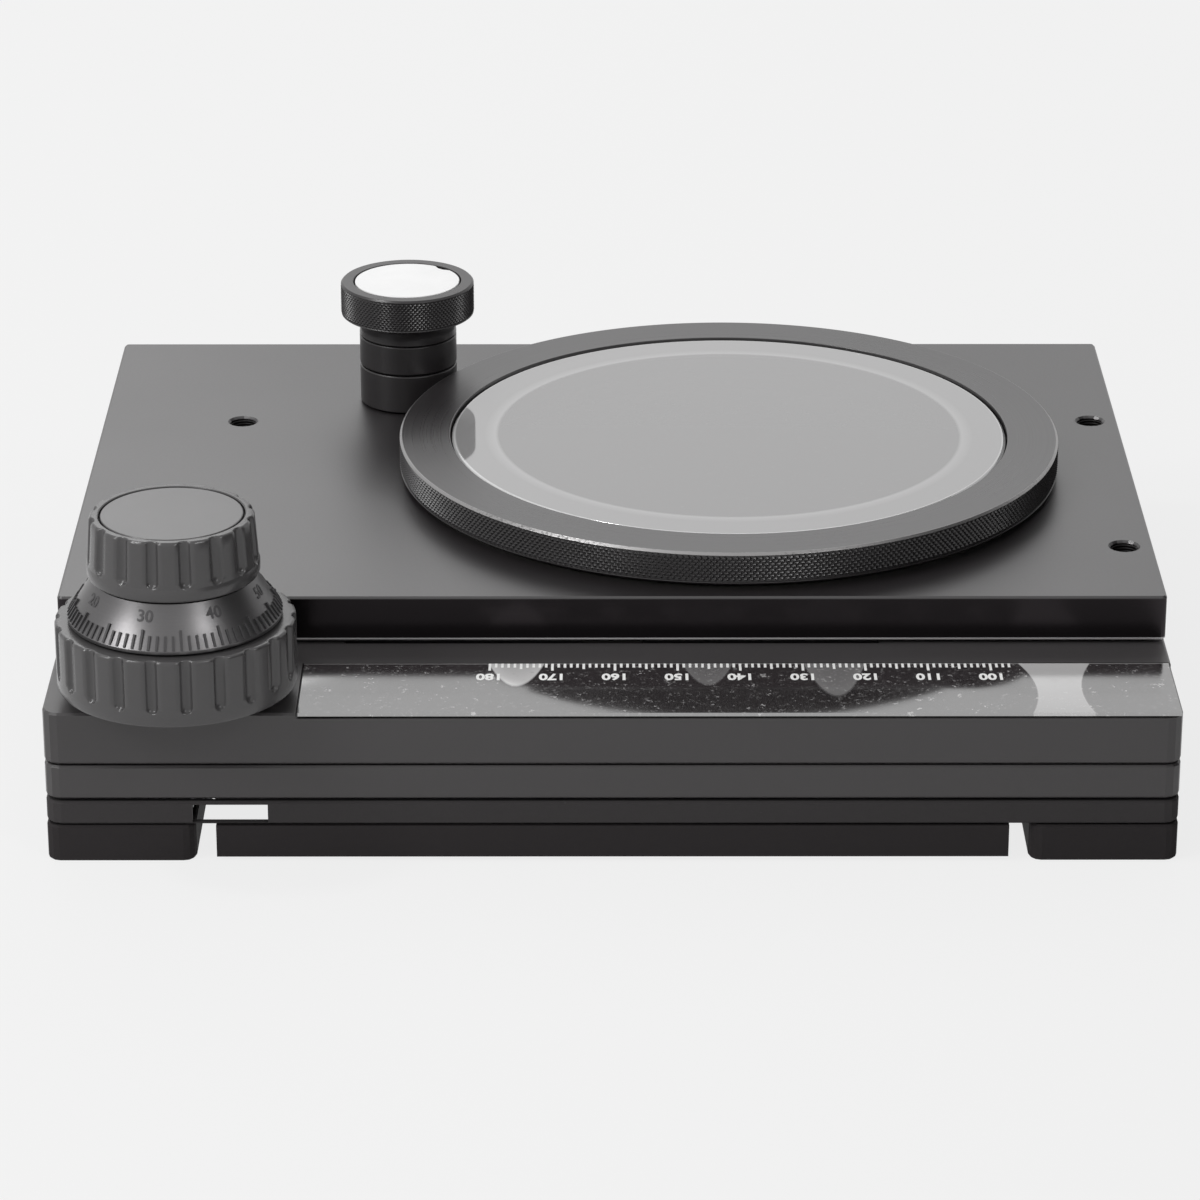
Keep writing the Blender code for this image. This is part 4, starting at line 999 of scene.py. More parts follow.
@dataclass
class Knurl:
    """A diamond knurl round an upright cylinder."""

    name: str
    centre: Point
    radius: float
    bottom: float
    top: float
    pitch: float
    depth: float
    overlap: float = 0.505

    def build(self) -> bpy.types.Object:
        """Set small pyramids in staggered rows round the cylinder, as one plain mesh.

        Returns:
            The knurl.
        """
        count = round(math.tau * self.radius / self.pitch)
        width = math.tau * self.radius / count
        rows = int((self.top - self.bottom - width) / (width / 2)) + 1
        pattern = Pattern(self.name, {
            "Around": count, "Rows": rows, "Radius": self.radius - self.depth,
            "Bottom": self.bottom, "Width": width,
            "Height": 2 * (self.top - self.bottom) / (rows + 1), "Depth": self.depth}, KNURL)
        size = pattern.size
        index = pattern.node("GeometryNodeInputIndex")
        row = (index / size("Around")).maths("FLOOR")
        turn = ((index % size("Around")) + (row % 2.0) * 0.5) / size("Around") * math.tau
        height = size("Bottom") + (row + 1.0) * 0.5 * size("Height")
        place = pattern.on_circle(self.centre, size("Radius"), turn, height)
        tooth = pattern.node("GeometryNodeMeshCone", {
            "Vertices": 4, "Side Segments": 1, "Radius Top": 0.0, "Radius Bottom": 1.0,
            "Depth": 1.0}, fill_type="NGON")
        upright = pattern.node("GeometryNodeTransform", {"Geometry": tooth,
                                                         "Rotation": (0.0, math.pi / 2, 0.0)})
        spread = pattern.node("GeometryNodeTransform", {
            "Geometry": upright, "Scale": pattern.combine(
                size("Depth"), size("Width") * self.overlap, size("Height") * self.overlap)})
        return pattern.set_out(self.name, size("Around") * size("Rows"), place, spread,
                               Rotation=pattern.combine(0.0, 0.0, turn))


class Numerals:
    """Plain numbers as thin raised shapes."""

    CAP_HEIGHT = 0.72

    def __init__(self, height: float, thickness: float, weight: float) -> None:
        """Keep the sizes.

        Args:
            height: The height of a digit.
            thickness: How thick the filled digit is.
            weight: How much its strokes are widened.
        """
        self.height = height
        self.thickness = thickness
        self.weight = weight
        self.bm = bmesh.new()

    def add(self, text: str, place: Callable[[Vector], Place], squeeze: float = 1.0) -> None:
        """Add one number.

        Args:
            text: The number.
            place: Carries a point of the flat number, centred on 0, to where it belongs.
            squeeze: The digits' width as a share of the font's own.
        """
        curve = bpy.data.curves.new("number", "FONT")
        curve.body = text
        curve.align_x = "CENTER"
        curve.align_y = "CENTER"
        curve.size = self.height / self.CAP_HEIGHT
        curve.offset = self.weight
        curve.extrude = self.thickness / 2
        curve.resolution_u = 3
        obj = bpy.data.objects.new("number", curve)
        bpy.context.scene.collection.objects.link(obj)
        mesh = realised(obj)
        heights = [vertex.co.y for vertex in mesh.vertices]
        middle = (min(heights) + max(heights)) / 2
        for vertex in mesh.vertices:
            x, y, z = vertex.co
            vertex.co = place(Vector((x * squeeze, y - middle, z)))
        self.bm.from_mesh(mesh)
        bpy.data.objects.remove(obj, do_unlink=True)
        bpy.data.curves.remove(curve)
        bpy.data.meshes.remove(mesh)

    def finished(self, name: str, finish: Finish) -> bpy.types.Object:
        """Give all the numbers as one object."""
        bmesh.ops.remove_doubles(self.bm, verts=self.bm.verts, dist=0.001 * MM)
        return coated(linked(name, self.bm, smooth=False), finish)


# Sub-assemblies


@dataclass
class FlutedKnob:
    """A moulded knob whose round flutes stop above a plain band."""

    name: str
    radius: float
    bottom: float
    top: float
    bore: float
    recess_radius: float
    recess_depth: float
    flutes: int
    first_flute: float
    flare: float = 0.0
    band: float = 2.3 * MM
    groove_radius: float = 0.95 * MM
    groove_depth: float = 0.75 * MM
    groove_rise: float = 1.25
    groove_reach: float = 1.12
    groove_columns: int = 14
    plain_columns: int = 3
    edge: float = 0.55 * MM
    edge_steps: int = 5
    edge_fade: float = 0.55
    land: float = 0.5 * MM
    recess_chamfer: float = 0.15 * MM

    def angles(self) -> list[float]:
        """Give column angles that are closest together in the flutes.

        Returns:
            The angles, in order.
        """
        step = math.tau / self.flutes
        reach = self.groove_reach * self.groove_radius / self.radius
        inside = [reach * (-1.0 + 2.0 * index / self.groove_columns)
                  for index in range(self.groove_columns + 1)]
        outside = [reach + (step - 2 * reach) * index / (self.plain_columns + 1)
                   for index in range(1, self.plain_columns + 1)]
        return [self.first_flute + flute * step + angle for flute in range(self.flutes)
                for angle in inside + outside]

    def section(self) -> tuple[list[Point], list[float]]:
        """Give the knob's section and how deep the flutes cut at each of its points.

        Returns:
            The section's points, and their shares of the flutes' depth.
        """
        low, high, edge = self.bottom, self.top, self.edge
        wide = self.radius + self.flare
        wall: list[Point] = [(wide - edge, low), (wide - 0.3 * edge, low + 0.3 * edge),
                             (wide, low + edge), (wide, low + self.band - 0.4 * MM)]
        start = low + self.band - 0.1 * MM
        reach = self.groove_radius * self.groove_rise
        end = start + reach
        heights = [start + reach * index / 10 for index in range(11)]
        heights += [end + (high - edge - end) * index / 4 for index in range(1, 5)]
        wall += [(wide - self.flare * (height - low) / (high - low), height)
                 for height in heights]
        shares = [0.0] * 3 + [1.0] * (1 + len(heights))
        for index in range(1, self.edge_steps + 1):
            angle = math.pi / 2 * index / self.edge_steps
            wall.append((self.radius - edge * (1 - math.cos(angle)),
                         high - edge * (1 - math.sin(angle))))
            shares.append(1.0 - self.edge_fade * index / self.edge_steps)
        inner, floor = self.recess_radius, high - self.recess_depth
        inside = [(self.radius - edge - self.land, high), (inner + self.recess_chamfer, high),
                  (inner, high - self.recess_chamfer), (inner, floor), (self.bore, floor),
                  (self.bore, low)]
        return wall + inside, shares + [0.0] * len(inside)

    def build(self) -> bpy.types.Object:
        """Turn the knob and press its flutes in.

        Returns:
            The knob.
        """
        section, shares = self.section()
        shape = turned(self.name, section, KNOB_CENTRE, self.angles(), shares)
        pattern = Pattern(self.name + " flutes", {
            "Flutes": self.flutes, "First": self.first_flute, "Radius": self.radius,
            "Groove Radius": self.groove_radius, "Groove Depth": self.groove_depth,
            "End Height": self.bottom + self.band + self.groove_radius}, KNOB)
        size = pattern.size
        x, y, z = pattern.split(pattern.node("GeometryNodeInputPosition"))
        x, y = x - KNOB_CENTRE[0], y - KNOB_CENTRE[1]
        angle = y.maths("ARCTAN2", x) - size("First")
        step = pattern.maths("DIVIDE", math.tau, size("Flutes"))
        across = ((angle + step * 0.5) % step - step * 0.5) * size("Radius")
        across = across / size("Groove Radius")
        below = ((size("End Height") - z) / size("Groove Radius")).maths("MAXIMUM", 0.0)
        inside = (1.0 - across * across - below * below).maths("MAXIMUM", 0.0).maths("SQRT")
        share = pattern.node("GeometryNodeInputNamedAttribute", {"Name": "share"}, "Attribute",
                             data_type="FLOAT")
        cut = inside * share * size("Groove Depth") * -1.0
        length = (x * x + y * y).maths("SQRT").maths("MAXIMUM", LEAST_RADIUS)
        offset = pattern.combine(x / length * cut, y / length * cut, 0.0)
        pressed = pattern.node("GeometryNodeSetPosition", {"Geometry": pattern.start,
                                                           "Offset": offset})
        return pattern.run(shape, pressed)


@dataclass
class CoaxialKnobs:
    """The two knobs on the ledge with the dial between them."""

    x_bottom: float = 28.3 * MM
    x_top: float = 39.4 * MM
    shaft_gap: float = 0.3 * MM
    dial_bottom: float = 39.7 * MM
    dial_top: float = 46.6 * MM
    y_bottom: float = 46.9 * MM
    y_top: float = 56.7 * MM
    cap_radius: float = 11.2 * MM
    cap_depth: float = 1.2 * MM
    cap_steps: int = 96
    dial_base: float = 16.9 * MM
    dial_neck: float = 12.9 * MM
    dial_rim: float = 0.6 * MM
    dial_chamfer: float = 0.12 * MM
    dial_hollow: float = 0.18 * MM
    dial_steps: int = 128
    cone_steps: int = 8
    inner_bore: float = 2.0 * MM
    divisions: int = 80
    thirty_angle: float = math.radians(-104.3)
    number_height: float = 1.9 * MM
    number_share: float = 0.73
    number_sink: float = 0.06 * MM

    def build(self) -> None:
        """Build the knobs, the cap, the dial and its marks."""
        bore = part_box("x_shaft")[1][0] - KNOB_CENTRE[0]
        large = FlutedKnob("large_knob", radius=19.0 * MM, bottom=self.x_bottom, top=self.x_top,
                           bore=bore + self.shaft_gap, recess_radius=15.6 * MM,
                           recess_depth=1.0 * MM, flutes=22, first_flute=math.radians(-97.2))
        fitted(large.build(), Body.X_DRIVE, Slot.KNOB, "x_knob")
        small = FlutedKnob("small_knob", radius=12.9 * MM, flare=0.7 * MM, bottom=self.y_bottom,
                           top=self.y_top, bore=self.inner_bore, recess_radius=11.5 * MM,
                           recess_depth=1.5 * MM, flutes=16, first_flute=math.radians(-99.5))
        fitted(small.build(), Body.Y_DRIVE, Slot.KNOB, "y_knob")
        self.build_cap()
        self.build_dial()
        self.build_divisions()
        self.build_numbers()

    def build_cap(self) -> None:
        """Build the flat cap in the small knob."""
        low, high = self.y_top - self.cap_depth, self.y_top - 0.05 * MM
        section = filleted([(0.0, low, 0.0), (self.cap_radius, low, FILLET),
                            (self.cap_radius, high, 0.22 * MM), (0.0, high, 0.0)], closed=False)
        cap = lathed("knob_cap", section, KNOB_CENTRE, self.cap_steps, CAP, closed=False)
        fitted(cap, Body.Y_DRIVE, Slot.CAP, "y_knob_cap")

    def cone(self, along: float) -> Point:
        """Give the cone's (radius, height) at a share of the way up it.

        Args:
            along: The share, 0 at the rim and 1 at the neck.

        Returns:
            The radius and the height there.
        """
        hollow = self.dial_hollow * math.sin(math.pi * along)
        low = self.dial_bottom + self.dial_rim
        return (self.dial_base + (self.dial_neck - self.dial_base) * along - hollow,
                low + (self.dial_top - low) * along)

    def build_dial(self) -> None:
        """Build the dial's cone."""
        section = [(self.inner_bore, self.dial_bottom),
                   (self.dial_base - self.dial_chamfer, self.dial_bottom),
                   (self.dial_base, self.dial_bottom + self.dial_chamfer),
                   *(self.cone(index / self.cone_steps) for index in range(self.cone_steps + 1)),
                   (self.inner_bore, self.dial_top)]
        dial = lathed("dial_cone", section, KNOB_CENTRE, self.dial_steps, DIAL)
        fitted(dial, Body.Y_DRIVE, Slot.DIAL, "y_dial")

    def build_divisions(self) -> None:
        """Build the dial's lines, longer at each five and ten."""
        low, high = self.cone(0.0), self.cone(1.0)
        lean = math.atan2(high[1] - low[1], low[0] - high[0])
        pattern = Pattern("dial divisions", {
            "Divisions": self.divisions, "First": self.thirty_angle,
            "Foot Radius": low[0] - 0.1 * MM, "Foot Height": low[1] + 0.1 * MM,
            "Short": 2.3 * MM, "Middle": 3.2 * MM, "Long": 3.2 * MM,
            "Width": 0.36 * MM, "Thickness": 0.4 * MM}, DIAL_INK)
        size = pattern.size
        index = pattern.node("GeometryNodeInputIndex")
        length = pattern.mark_length(index)
        turn = size("First") + index / size("Divisions") * math.tau
        radius = size("Foot Radius") - length * (0.5 * math.cos(lean))
        height = size("Foot Height") + length * (0.5 * math.sin(lean))
        place = pattern.on_circle(KNOB_CENTRE, radius, turn, height)
        line = pattern.node("GeometryNodeMeshCube", {"Size": (1.0, 1.0, 1.0)})
        lines = pattern.set_out("dial_divisions", size("Divisions"), place, line,
                                Rotation=pattern.combine(0.0, -(math.pi - lean), turn),
                                Scale=pattern.combine(length, size("Width"), size("Thickness")))
        fitted(lines, Body.Y_DRIVE, Slot.DIAL)

    def build_numbers(self) -> None:
        """Build the numbers above the dial's lines, one at each ten."""
        numerals = Numerals(self.number_height, 0.3 * MM, 0.05 * MM)
        up = Vector((self.dial_neck - self.dial_base,
                     self.dial_top - self.dial_bottom - self.dial_rim)).normalized()
        for value in range(0, self.divisions, 10):
            middle = self.thirty_angle + math.tau * (value - 30) / self.divisions

            def place(flat: Vector, middle: float = middle) -> Place:
                """Carry a flat point to the cone, round its axis.

                Args:
                    flat: The point of the flat number.
                    middle: The angle of the number's middle.

                Returns:
                    Its place on the cone.
                """
                radius, height = self.cone(self.number_share)
                lift = flat.z - self.number_sink
                radius += up.x * flat.y + up.y * lift
                height += up.y * flat.y - up.x * lift
                return on_circle(KNOB_CENTRE, radius, middle + flat.x / radius, height)

            numerals.add(str(value), place)
        fitted(numerals.finished("dial_numbers", DIAL_INK), Body.Y_DRIVE, Slot.DIAL)


@dataclass
class SpecimenRing:
    """The turning ring with its knurled rim and its glass."""

    bottom: float = 34.9 * MM
    top: float = 40.5 * MM
    radius: float = 56.9 * MM
    spigot_radius: float = 46.2 * MM
    seat: float = 36.7 * MM
    aperture: float = 40.0 * MM
    pocket: float = 48.1 * MM
    glass_radius: float = 47.8 * MM
    glass_bottom: float = 37.0 * MM
    glass_top: float = 40.2 * MM
    edge: float = 0.45 * MM
    knurl_depth: float = 0.42 * MM
    knurl_pitch: float = 1.0 * MM
    steps: int = 256

    def build(self) -> None:
        """Build the ring, its knurl and its glass."""
        self.build_ring()
        knurl = Knurl("ring_knurl", RING_CENTRE, self.radius,
                      self.bottom + self.edge + 0.05 * MM, self.top - self.edge - 0.05 * MM,
                      self.knurl_pitch, self.knurl_depth)
        fitted(knurl.build(), Body.RING, Slot.RING)
        low, high = self.glass_bottom, self.glass_top
        inner = self.glass_radius - self.edge
        glass = filleted([(0.0, low, 0.0), (inner, low, FILLET),
                          (self.glass_radius, low + self.edge, FILLET),
                          (self.glass_radius, high - self.edge, FILLET),
                          (inner, high, FILLET), (0.0, high, 0.0)], 3, closed=False)
        made = lathed("glass_insert", glass, RING_CENTRE, self.steps, GLASS, closed=False)
        fitted(made, Body.RING, Slot.GLASS, "stage_glass")

    def build_ring(self) -> None:
        """Build the ring with its spigot, its seat for the glass and the knurl's core."""
        low, high, edge = self.bottom, self.top, self.edge
        core = self.radius - self.knurl_depth * KNURL_CORE
        rim = self.radius - 0.02 * MM
        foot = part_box("specimen_ring")[0][2]
        section = filleted([
            (self.aperture, foot, FILLET), (self.spigot_radius, foot, 2 * FILLET),
            (self.spigot_radius, low, 0.0), (self.radius - edge, low, FINE_FILLET),
            (rim, low + edge, FINE_FILLET), (core, low + edge + 0.1 * MM, 0.0),
            (core, high - edge - 0.1 * MM, 0.0), (rim, high - edge, FINE_FILLET),
            (self.radius - edge, high, SOFT_FILLET), (self.pocket, high, SOFT_FILLET),
            (self.pocket, self.seat, 0.0), (self.aperture, self.seat, FILLET)], 3)
        fitted(lathed("knurled_ring", section, RING_CENTRE, self.steps, RING_BLACK), Body.RING,
               Slot.RING, "specimen_ring")


@dataclass
class ClampPost:
    """The round post with its knurled knob and white disc."""

    lower: tuple[float, float] = (34.2 * MM, 41.0 * MM)
    upper: tuple[float, float] = (41.3 * MM, 46.5 * MM)
    post_radius: float = 8.65 * MM
    post_edge: float = 0.22 * MM
    bore: float = 3.3 * MM
    head_bottom: float = 46.8 * MM
    shoulder: float = 50.4 * MM
    head_top: float = 56.3 * MM
    head_radius: float = 11.9 * MM
    head_edge: float = 0.4 * MM
    hollow_steps: int = 8
    disc_radius: float = 9.3 * MM
    disc_thickness: float = 1.0 * MM
    disc_gap: float = 0.3 * MM
    notch_angle: float = math.radians(48)
    notch_half: float = math.radians(9)
    notch_depth: float = 0.7 * MM
    knurl_depth: float = 0.3 * MM
    knurl_pitch: float = 0.78 * MM
    steps: int = 128

    def build(self) -> None:
        """Build the post's two sleeves, the knob, its knurl and the disc."""
        for name, node, (low, high) in (("lower_sleeve", "clamp_post_lower", self.lower),
                                        ("upper_sleeve", "clamp_post_upper", self.upper)):
            section = filleted([(self.bore, low, 0.0), (self.post_radius, low, self.post_edge),
                                (self.post_radius, high, self.post_edge),
                                (self.bore, high, 0.0)])
            sleeve = lathed(name, section, POST_CENTRE, self.steps, POST_BLACK)
            fitted(sleeve, Body.X_CARRIAGE, Slot.BLACK, node)
        self.build_head()
        low, high = self.head_top - self.disc_thickness, self.head_top
        section = filleted([(0.0, low, 0.0), (self.disc_radius, low, 0.0),
                            (self.disc_radius, high, 0.15 * MM), (0.0, high, 0.0)],
                           closed=False)
        disc = lathed("white_disc", section, POST_CENTRE, self.steps, WHITE, closed=False)
        self.notch(disc)
        fitted(disc, Body.CLAMP, Slot.WHITE, "clamp_disc")

    def notch(self, disc: bpy.types.Object) -> None:
        """Press the small notch into the disc's edge, where a blade lifts it out.

        Args:
            disc: The disc.
        """
        for vertex in disc.data.vertices:
            x, y = vertex.co.x - POST_CENTRE[0], vertex.co.y - POST_CENTRE[1]
            radius = math.hypot(x, y)
            away = abs(math.atan2(y, x) - self.notch_angle) / self.notch_half
            if radius > self.disc_radius - 0.5 * MM and away < 1.0:
                share = 1.0 - self.notch_depth * math.sqrt(1.0 - away * away) / radius
                vertex.co.x = POST_CENTRE[0] + x * share
                vertex.co.y = POST_CENTRE[1] + y * share

    def build_head(self) -> None:
        """Build the knob's body and its knurled band."""
        foot, high, edge = self.head_bottom, self.head_top, self.head_edge
        core = self.head_radius - self.knurl_depth * KNURL_CORE
        pocket = self.disc_radius + self.disc_gap
        seat = high - self.disc_thickness - self.disc_gap
        neck = self.post_radius - 0.1 * MM
        flange = self.head_radius - 0.3 * MM
        section: list[Point] = [(self.bore, foot), (self.post_radius, foot),
                                (self.post_radius, foot + 0.15 * MM)]
        for index in range(self.hollow_steps + 1):
            angle = index / self.hollow_steps * math.pi / 2
            height = foot + 0.9 * MM
            height += (self.shoulder - 0.05 * MM - height) * math.sin(angle) ** 1.1
            section.append((neck + (flange - neck) * (1 - math.cos(angle)), height))
        section += filleted([(self.head_radius - 0.12 * MM, self.shoulder + 0.1 * MM, 0.0),
                             (core, self.shoulder + 0.25 * MM, 0.0),
                             (core, high - edge - 0.1 * MM, 0.0),
                             (self.head_radius, high - edge, FINE_FILLET),
                             (self.head_radius - edge, high, SOFT_FILLET),
                             (pocket, high, SOFT_FILLET), (pocket, seat, 0.0),
                             (self.bore, seat, 0.0)], 3, closed=False)
        fitted(lathed("clamp_head", section, POST_CENTRE, self.steps, POST_BLACK), Body.CLAMP,
               Slot.BLACK, "clamp_knob")
        knurl = Knurl("clamp_knurl", POST_CENTRE, self.head_radius, self.shoulder + 0.15 * MM,
                      high - edge - 0.05 * MM, self.knurl_pitch, self.knurl_depth)
        fitted(knurl.build(), Body.CLAMP, Slot.BLACK)


@dataclass
class LedgeScale:
    """The marks and numbers on the ledge's scale strip."""

    left_value: int = 180
    right_value: int = 97
    left: float = -19.7 * MM
    pitch: float = 1.006 * MM
    back: float = -49.85 * MM
    number_middle: float = -55.15 * MM
    number_height: float = 2.45 * MM
    number_weight: float = 0.11 * MM
    number_squeeze: float = 0.84
    print_thickness: float = 0.05 * MM

    def build(self) -> None:
        """Build the marks and the numbers."""
        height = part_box("scale_strip")[1][2] + 0.2 * self.print_thickness
        pattern = Pattern("ledge marks", {
            "Marks": self.left_value - self.right_value + 1, "Left": self.left,
            "Pitch": self.pitch, "Back": self.back, "Height": height,
            "Short": 1.5 * MM, "Middle": 2.1 * MM, "Long": 2.75 * MM,
            "Width": 0.42 * MM, "Thickness": self.print_thickness}, WHITE_INK)
        size = pattern.size
        index = pattern.node("GeometryNodeInputIndex")
        length = pattern.mark_length(index)
        place = pattern.combine(size("Left") + index * size("Pitch"),
                                size("Back") - length * 0.5, size("Height"))
        line = pattern.node("GeometryNodeMeshCube", {"Size": (1.0, 1.0, 1.0)})
        lines = pattern.set_out("scale_marks", size("Marks"), place, line,
                                Scale=pattern.combine(size("Width"), length, size("Thickness")))
        fitted(lines, Body.Y_CARRIAGE, Slot.SCALE)
        self.build_numbers(height)

    def build_numbers(self, height: float) -> None:
        """Build the numbers, which read from the far side, at a height.

        Args:
            height: The height of the numbers' middle.
        """
        numerals = Numerals(self.number_height, self.print_thickness, self.number_weight)
        for value in range(self.left_value, self.right_value, -10):
            x = self.left + (self.left_value - value) * self.pitch

            def place(flat: Vector, x: float = x) -> Place:
                """Turn a flat point half round and set it on the strip."""
                return (x - flat.x, self.number_middle - flat.y, height + flat.z)

            numerals.add(str(value), place, self.number_squeeze)
        fitted(numerals.finished("scale_numbers", WHITE_INK), Body.Y_CARRIAGE, Slot.SCALE)


@dataclass
class ClipHoles:
    """Threads in the top plate's four clip holes."""

    places: tuple[Point, ...] = ((-65.3 * MM, 39.95 * MM), (85.2 * MM, 39.95 * MM),
                                 (85.2 * MM, -19.55 * MM), (-65.3 * MM, -19.55 * MM))
    radius: float = 2.3 * MM
    pitch: float = 0.5 * MM
    tooth: float = 0.3 * MM
    tooth_steps: int = 4
    turn_steps: int = 28
    bottom: float = 27.2 * MM
    top: float = 33.3 * MM

    def build(self) -> None:
        """Wind a thread in each hole, as one mesh."""
        rise = self.top - self.bottom
        # the threads take the near-black inner finish, darkened as painted shade in the holes
        pattern = Pattern("clip hole threads", {"Turns": rise / self.pitch, "Radius": self.radius,
                                                "Rise": rise, "Tooth": self.tooth}, INNER_SHADE_BLACK)
        size = pattern.size
        path = pattern.node("GeometryNodeCurveSpiral", {
            "Resolution": self.turn_steps, "Rotations": size("Turns"),
            "Start Radius": size("Radius"),
            "End Radius": size("Radius"), "Height": size("Rise")})
        tooth = pattern.node("GeometryNodeCurvePrimitiveCircle",
                             {"Resolution": self.tooth_steps, "Radius": size("Tooth")},
                             mode="RADIUS")
        thread = pattern.node("GeometryNodeCurveToMesh", {"Curve": path, "Profile Curve": tooth,
                                                          "Fill Caps": True})
        bm = bmesh.new()
        for x, y in self.places:
            bm.verts.new((x, y, self.bottom))
        seats = linked("hole_threads", bm, smooth=False)
        wound = pattern.node("GeometryNodeInstanceOnPoints", {"Points": pattern.start,
                                                              "Instance": thread})
        fitted(pattern.run(seats, wound), Body.X_CARRIAGE, Slot.SCREW)


@dataclass
class FootScrews:
    """Socket head screws under the feet."""

    nodes: tuple[str, ...] = ("foot_screw_1", "foot_screw_2", "foot_screw_3", "foot_screw_4")
    head_height: float = 2.2 * MM
    head_chamfer: float = 0.25 * MM
    shank_radius: float = 1.5 * MM
    shank_chamfer: float = 0.3 * MM
    socket_radius: float = 1.3 * MM
    socket_depth: float = 1.2 * MM
    steps: int = 48

    def build(self) -> None:
        """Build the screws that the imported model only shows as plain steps."""
        bm = bmesh.new()
        for node in self.nodes:
            low, high = (Vector(corner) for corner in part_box(node))
            self.add_screw(bm, ((low.x + high.x) / 2, (low.y + high.y) / 2), low.z, high.z,
                           (high.x - low.x) / 2)
        screws = linked("foot_screws", bm)
        fitted(coated(screws, DARK_STEEL), Body.BASE, Slot.SCREW, *self.nodes)

    def add_screw(self, bm: bmesh.types.BMesh, centre: Point, bottom: float, top: float,
                  head_radius: float) -> None:
        """Add one screw, head down.

        Args:
            bm: The mesh that gets it.
            centre: Where its axis stands.
            bottom: The head's lower face.
            top: The shank's upper end.
            head_radius: The head's radius.
        """
        angles = even_angles(self.steps)
        socket = [self.socket_radius * math.cos(math.pi / 6)
                  / math.cos((angle + math.pi / 6) % (math.pi / 3) - math.pi / 6)
                  for angle in angles]
        head_top = bottom + self.head_height
        outline = [(socket, bottom + self.socket_depth), (socket, bottom)]
        outline += [([radius] * self.steps, height) for radius, height in (
            (head_radius - self.head_chamfer, bottom), (head_radius, bottom + self.head_chamfer),
            (head_radius, head_top), (self.shank_radius, head_top),
            (self.shank_radius, top - self.shank_chamfer),
            (self.shank_radius - self.shank_chamfer, top))]
        rings = [[bm.verts.new(on_circle(centre, radius, angle, height))
                  for radius, angle in zip(radii, angles)] for radii, height in outline]
        for low, high in zip(rings, rings[1:]):
            for index in range(self.steps):
                after = (index + 1) % self.steps
                bm.faces.new((low[index], low[after], high[after], high[index]))
        bm.faces.new(rings[0])
        bm.faces.new(rings[-1])


@dataclass
class CarriedNodes:
    """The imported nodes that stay, each in the finish of its slot or in one of its own."""

    frame: dict

    def build(self) -> None:
        """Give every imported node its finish."""
        slots = {part["node"]: part.get("material") or part.get("material_slot")
                 for part in self.frame["record"]["subparts"]}
        for name, node in self.frame["nodes"].items():
            finish = OWN_FINISHES.get(name) or SLOT_FINISHES[Slot(slots[name])]
            if not node.material_slots:
                node.data.materials.append(finish.material())
            for place in node.material_slots:
                place.material = finish.material()
        log.info("%d nodes have their finish", len(self.frame["nodes"]))


# Studio


@dataclass
class SoftBox:
    """One large soft lamp that looks at the stage."""

    name: str
    place: Place
    width: float
    height: float
    power: float
    flagged: tuple[str, ...] = ()
    aim: Place = (0.0, 0.0, 0.03)

    def build(self) -> None:
        """Add the lamp, and keep its light off the pieces that are flagged from it."""
        lamp = bpy.data.lights.new(self.name, "AREA")
        lamp.shape = "RECTANGLE"
        lamp.size = self.width
        lamp.size_y = self.height
        lamp.energy = self.power
        made = bpy.data.objects.new(self.name, lamp)
        made.location = self.place
        direction = Vector(self.aim) - Vector(self.place)
        made.rotation_euler = direction.to_track_quat("-Z", "Y").to_euler()
        bpy.context.scene.collection.objects.link(made)
        if self.flagged:
            shaded = bpy.data.collections.new(self.name + " flags")
            made.light_linking.receiver_collection = shaded
            for name in self.flagged:
                shaded.objects.link(bpy.data.objects[name])
            for entry in shaded.collection_objects:
                entry.light_linking.link_state = "EXCLUDE"


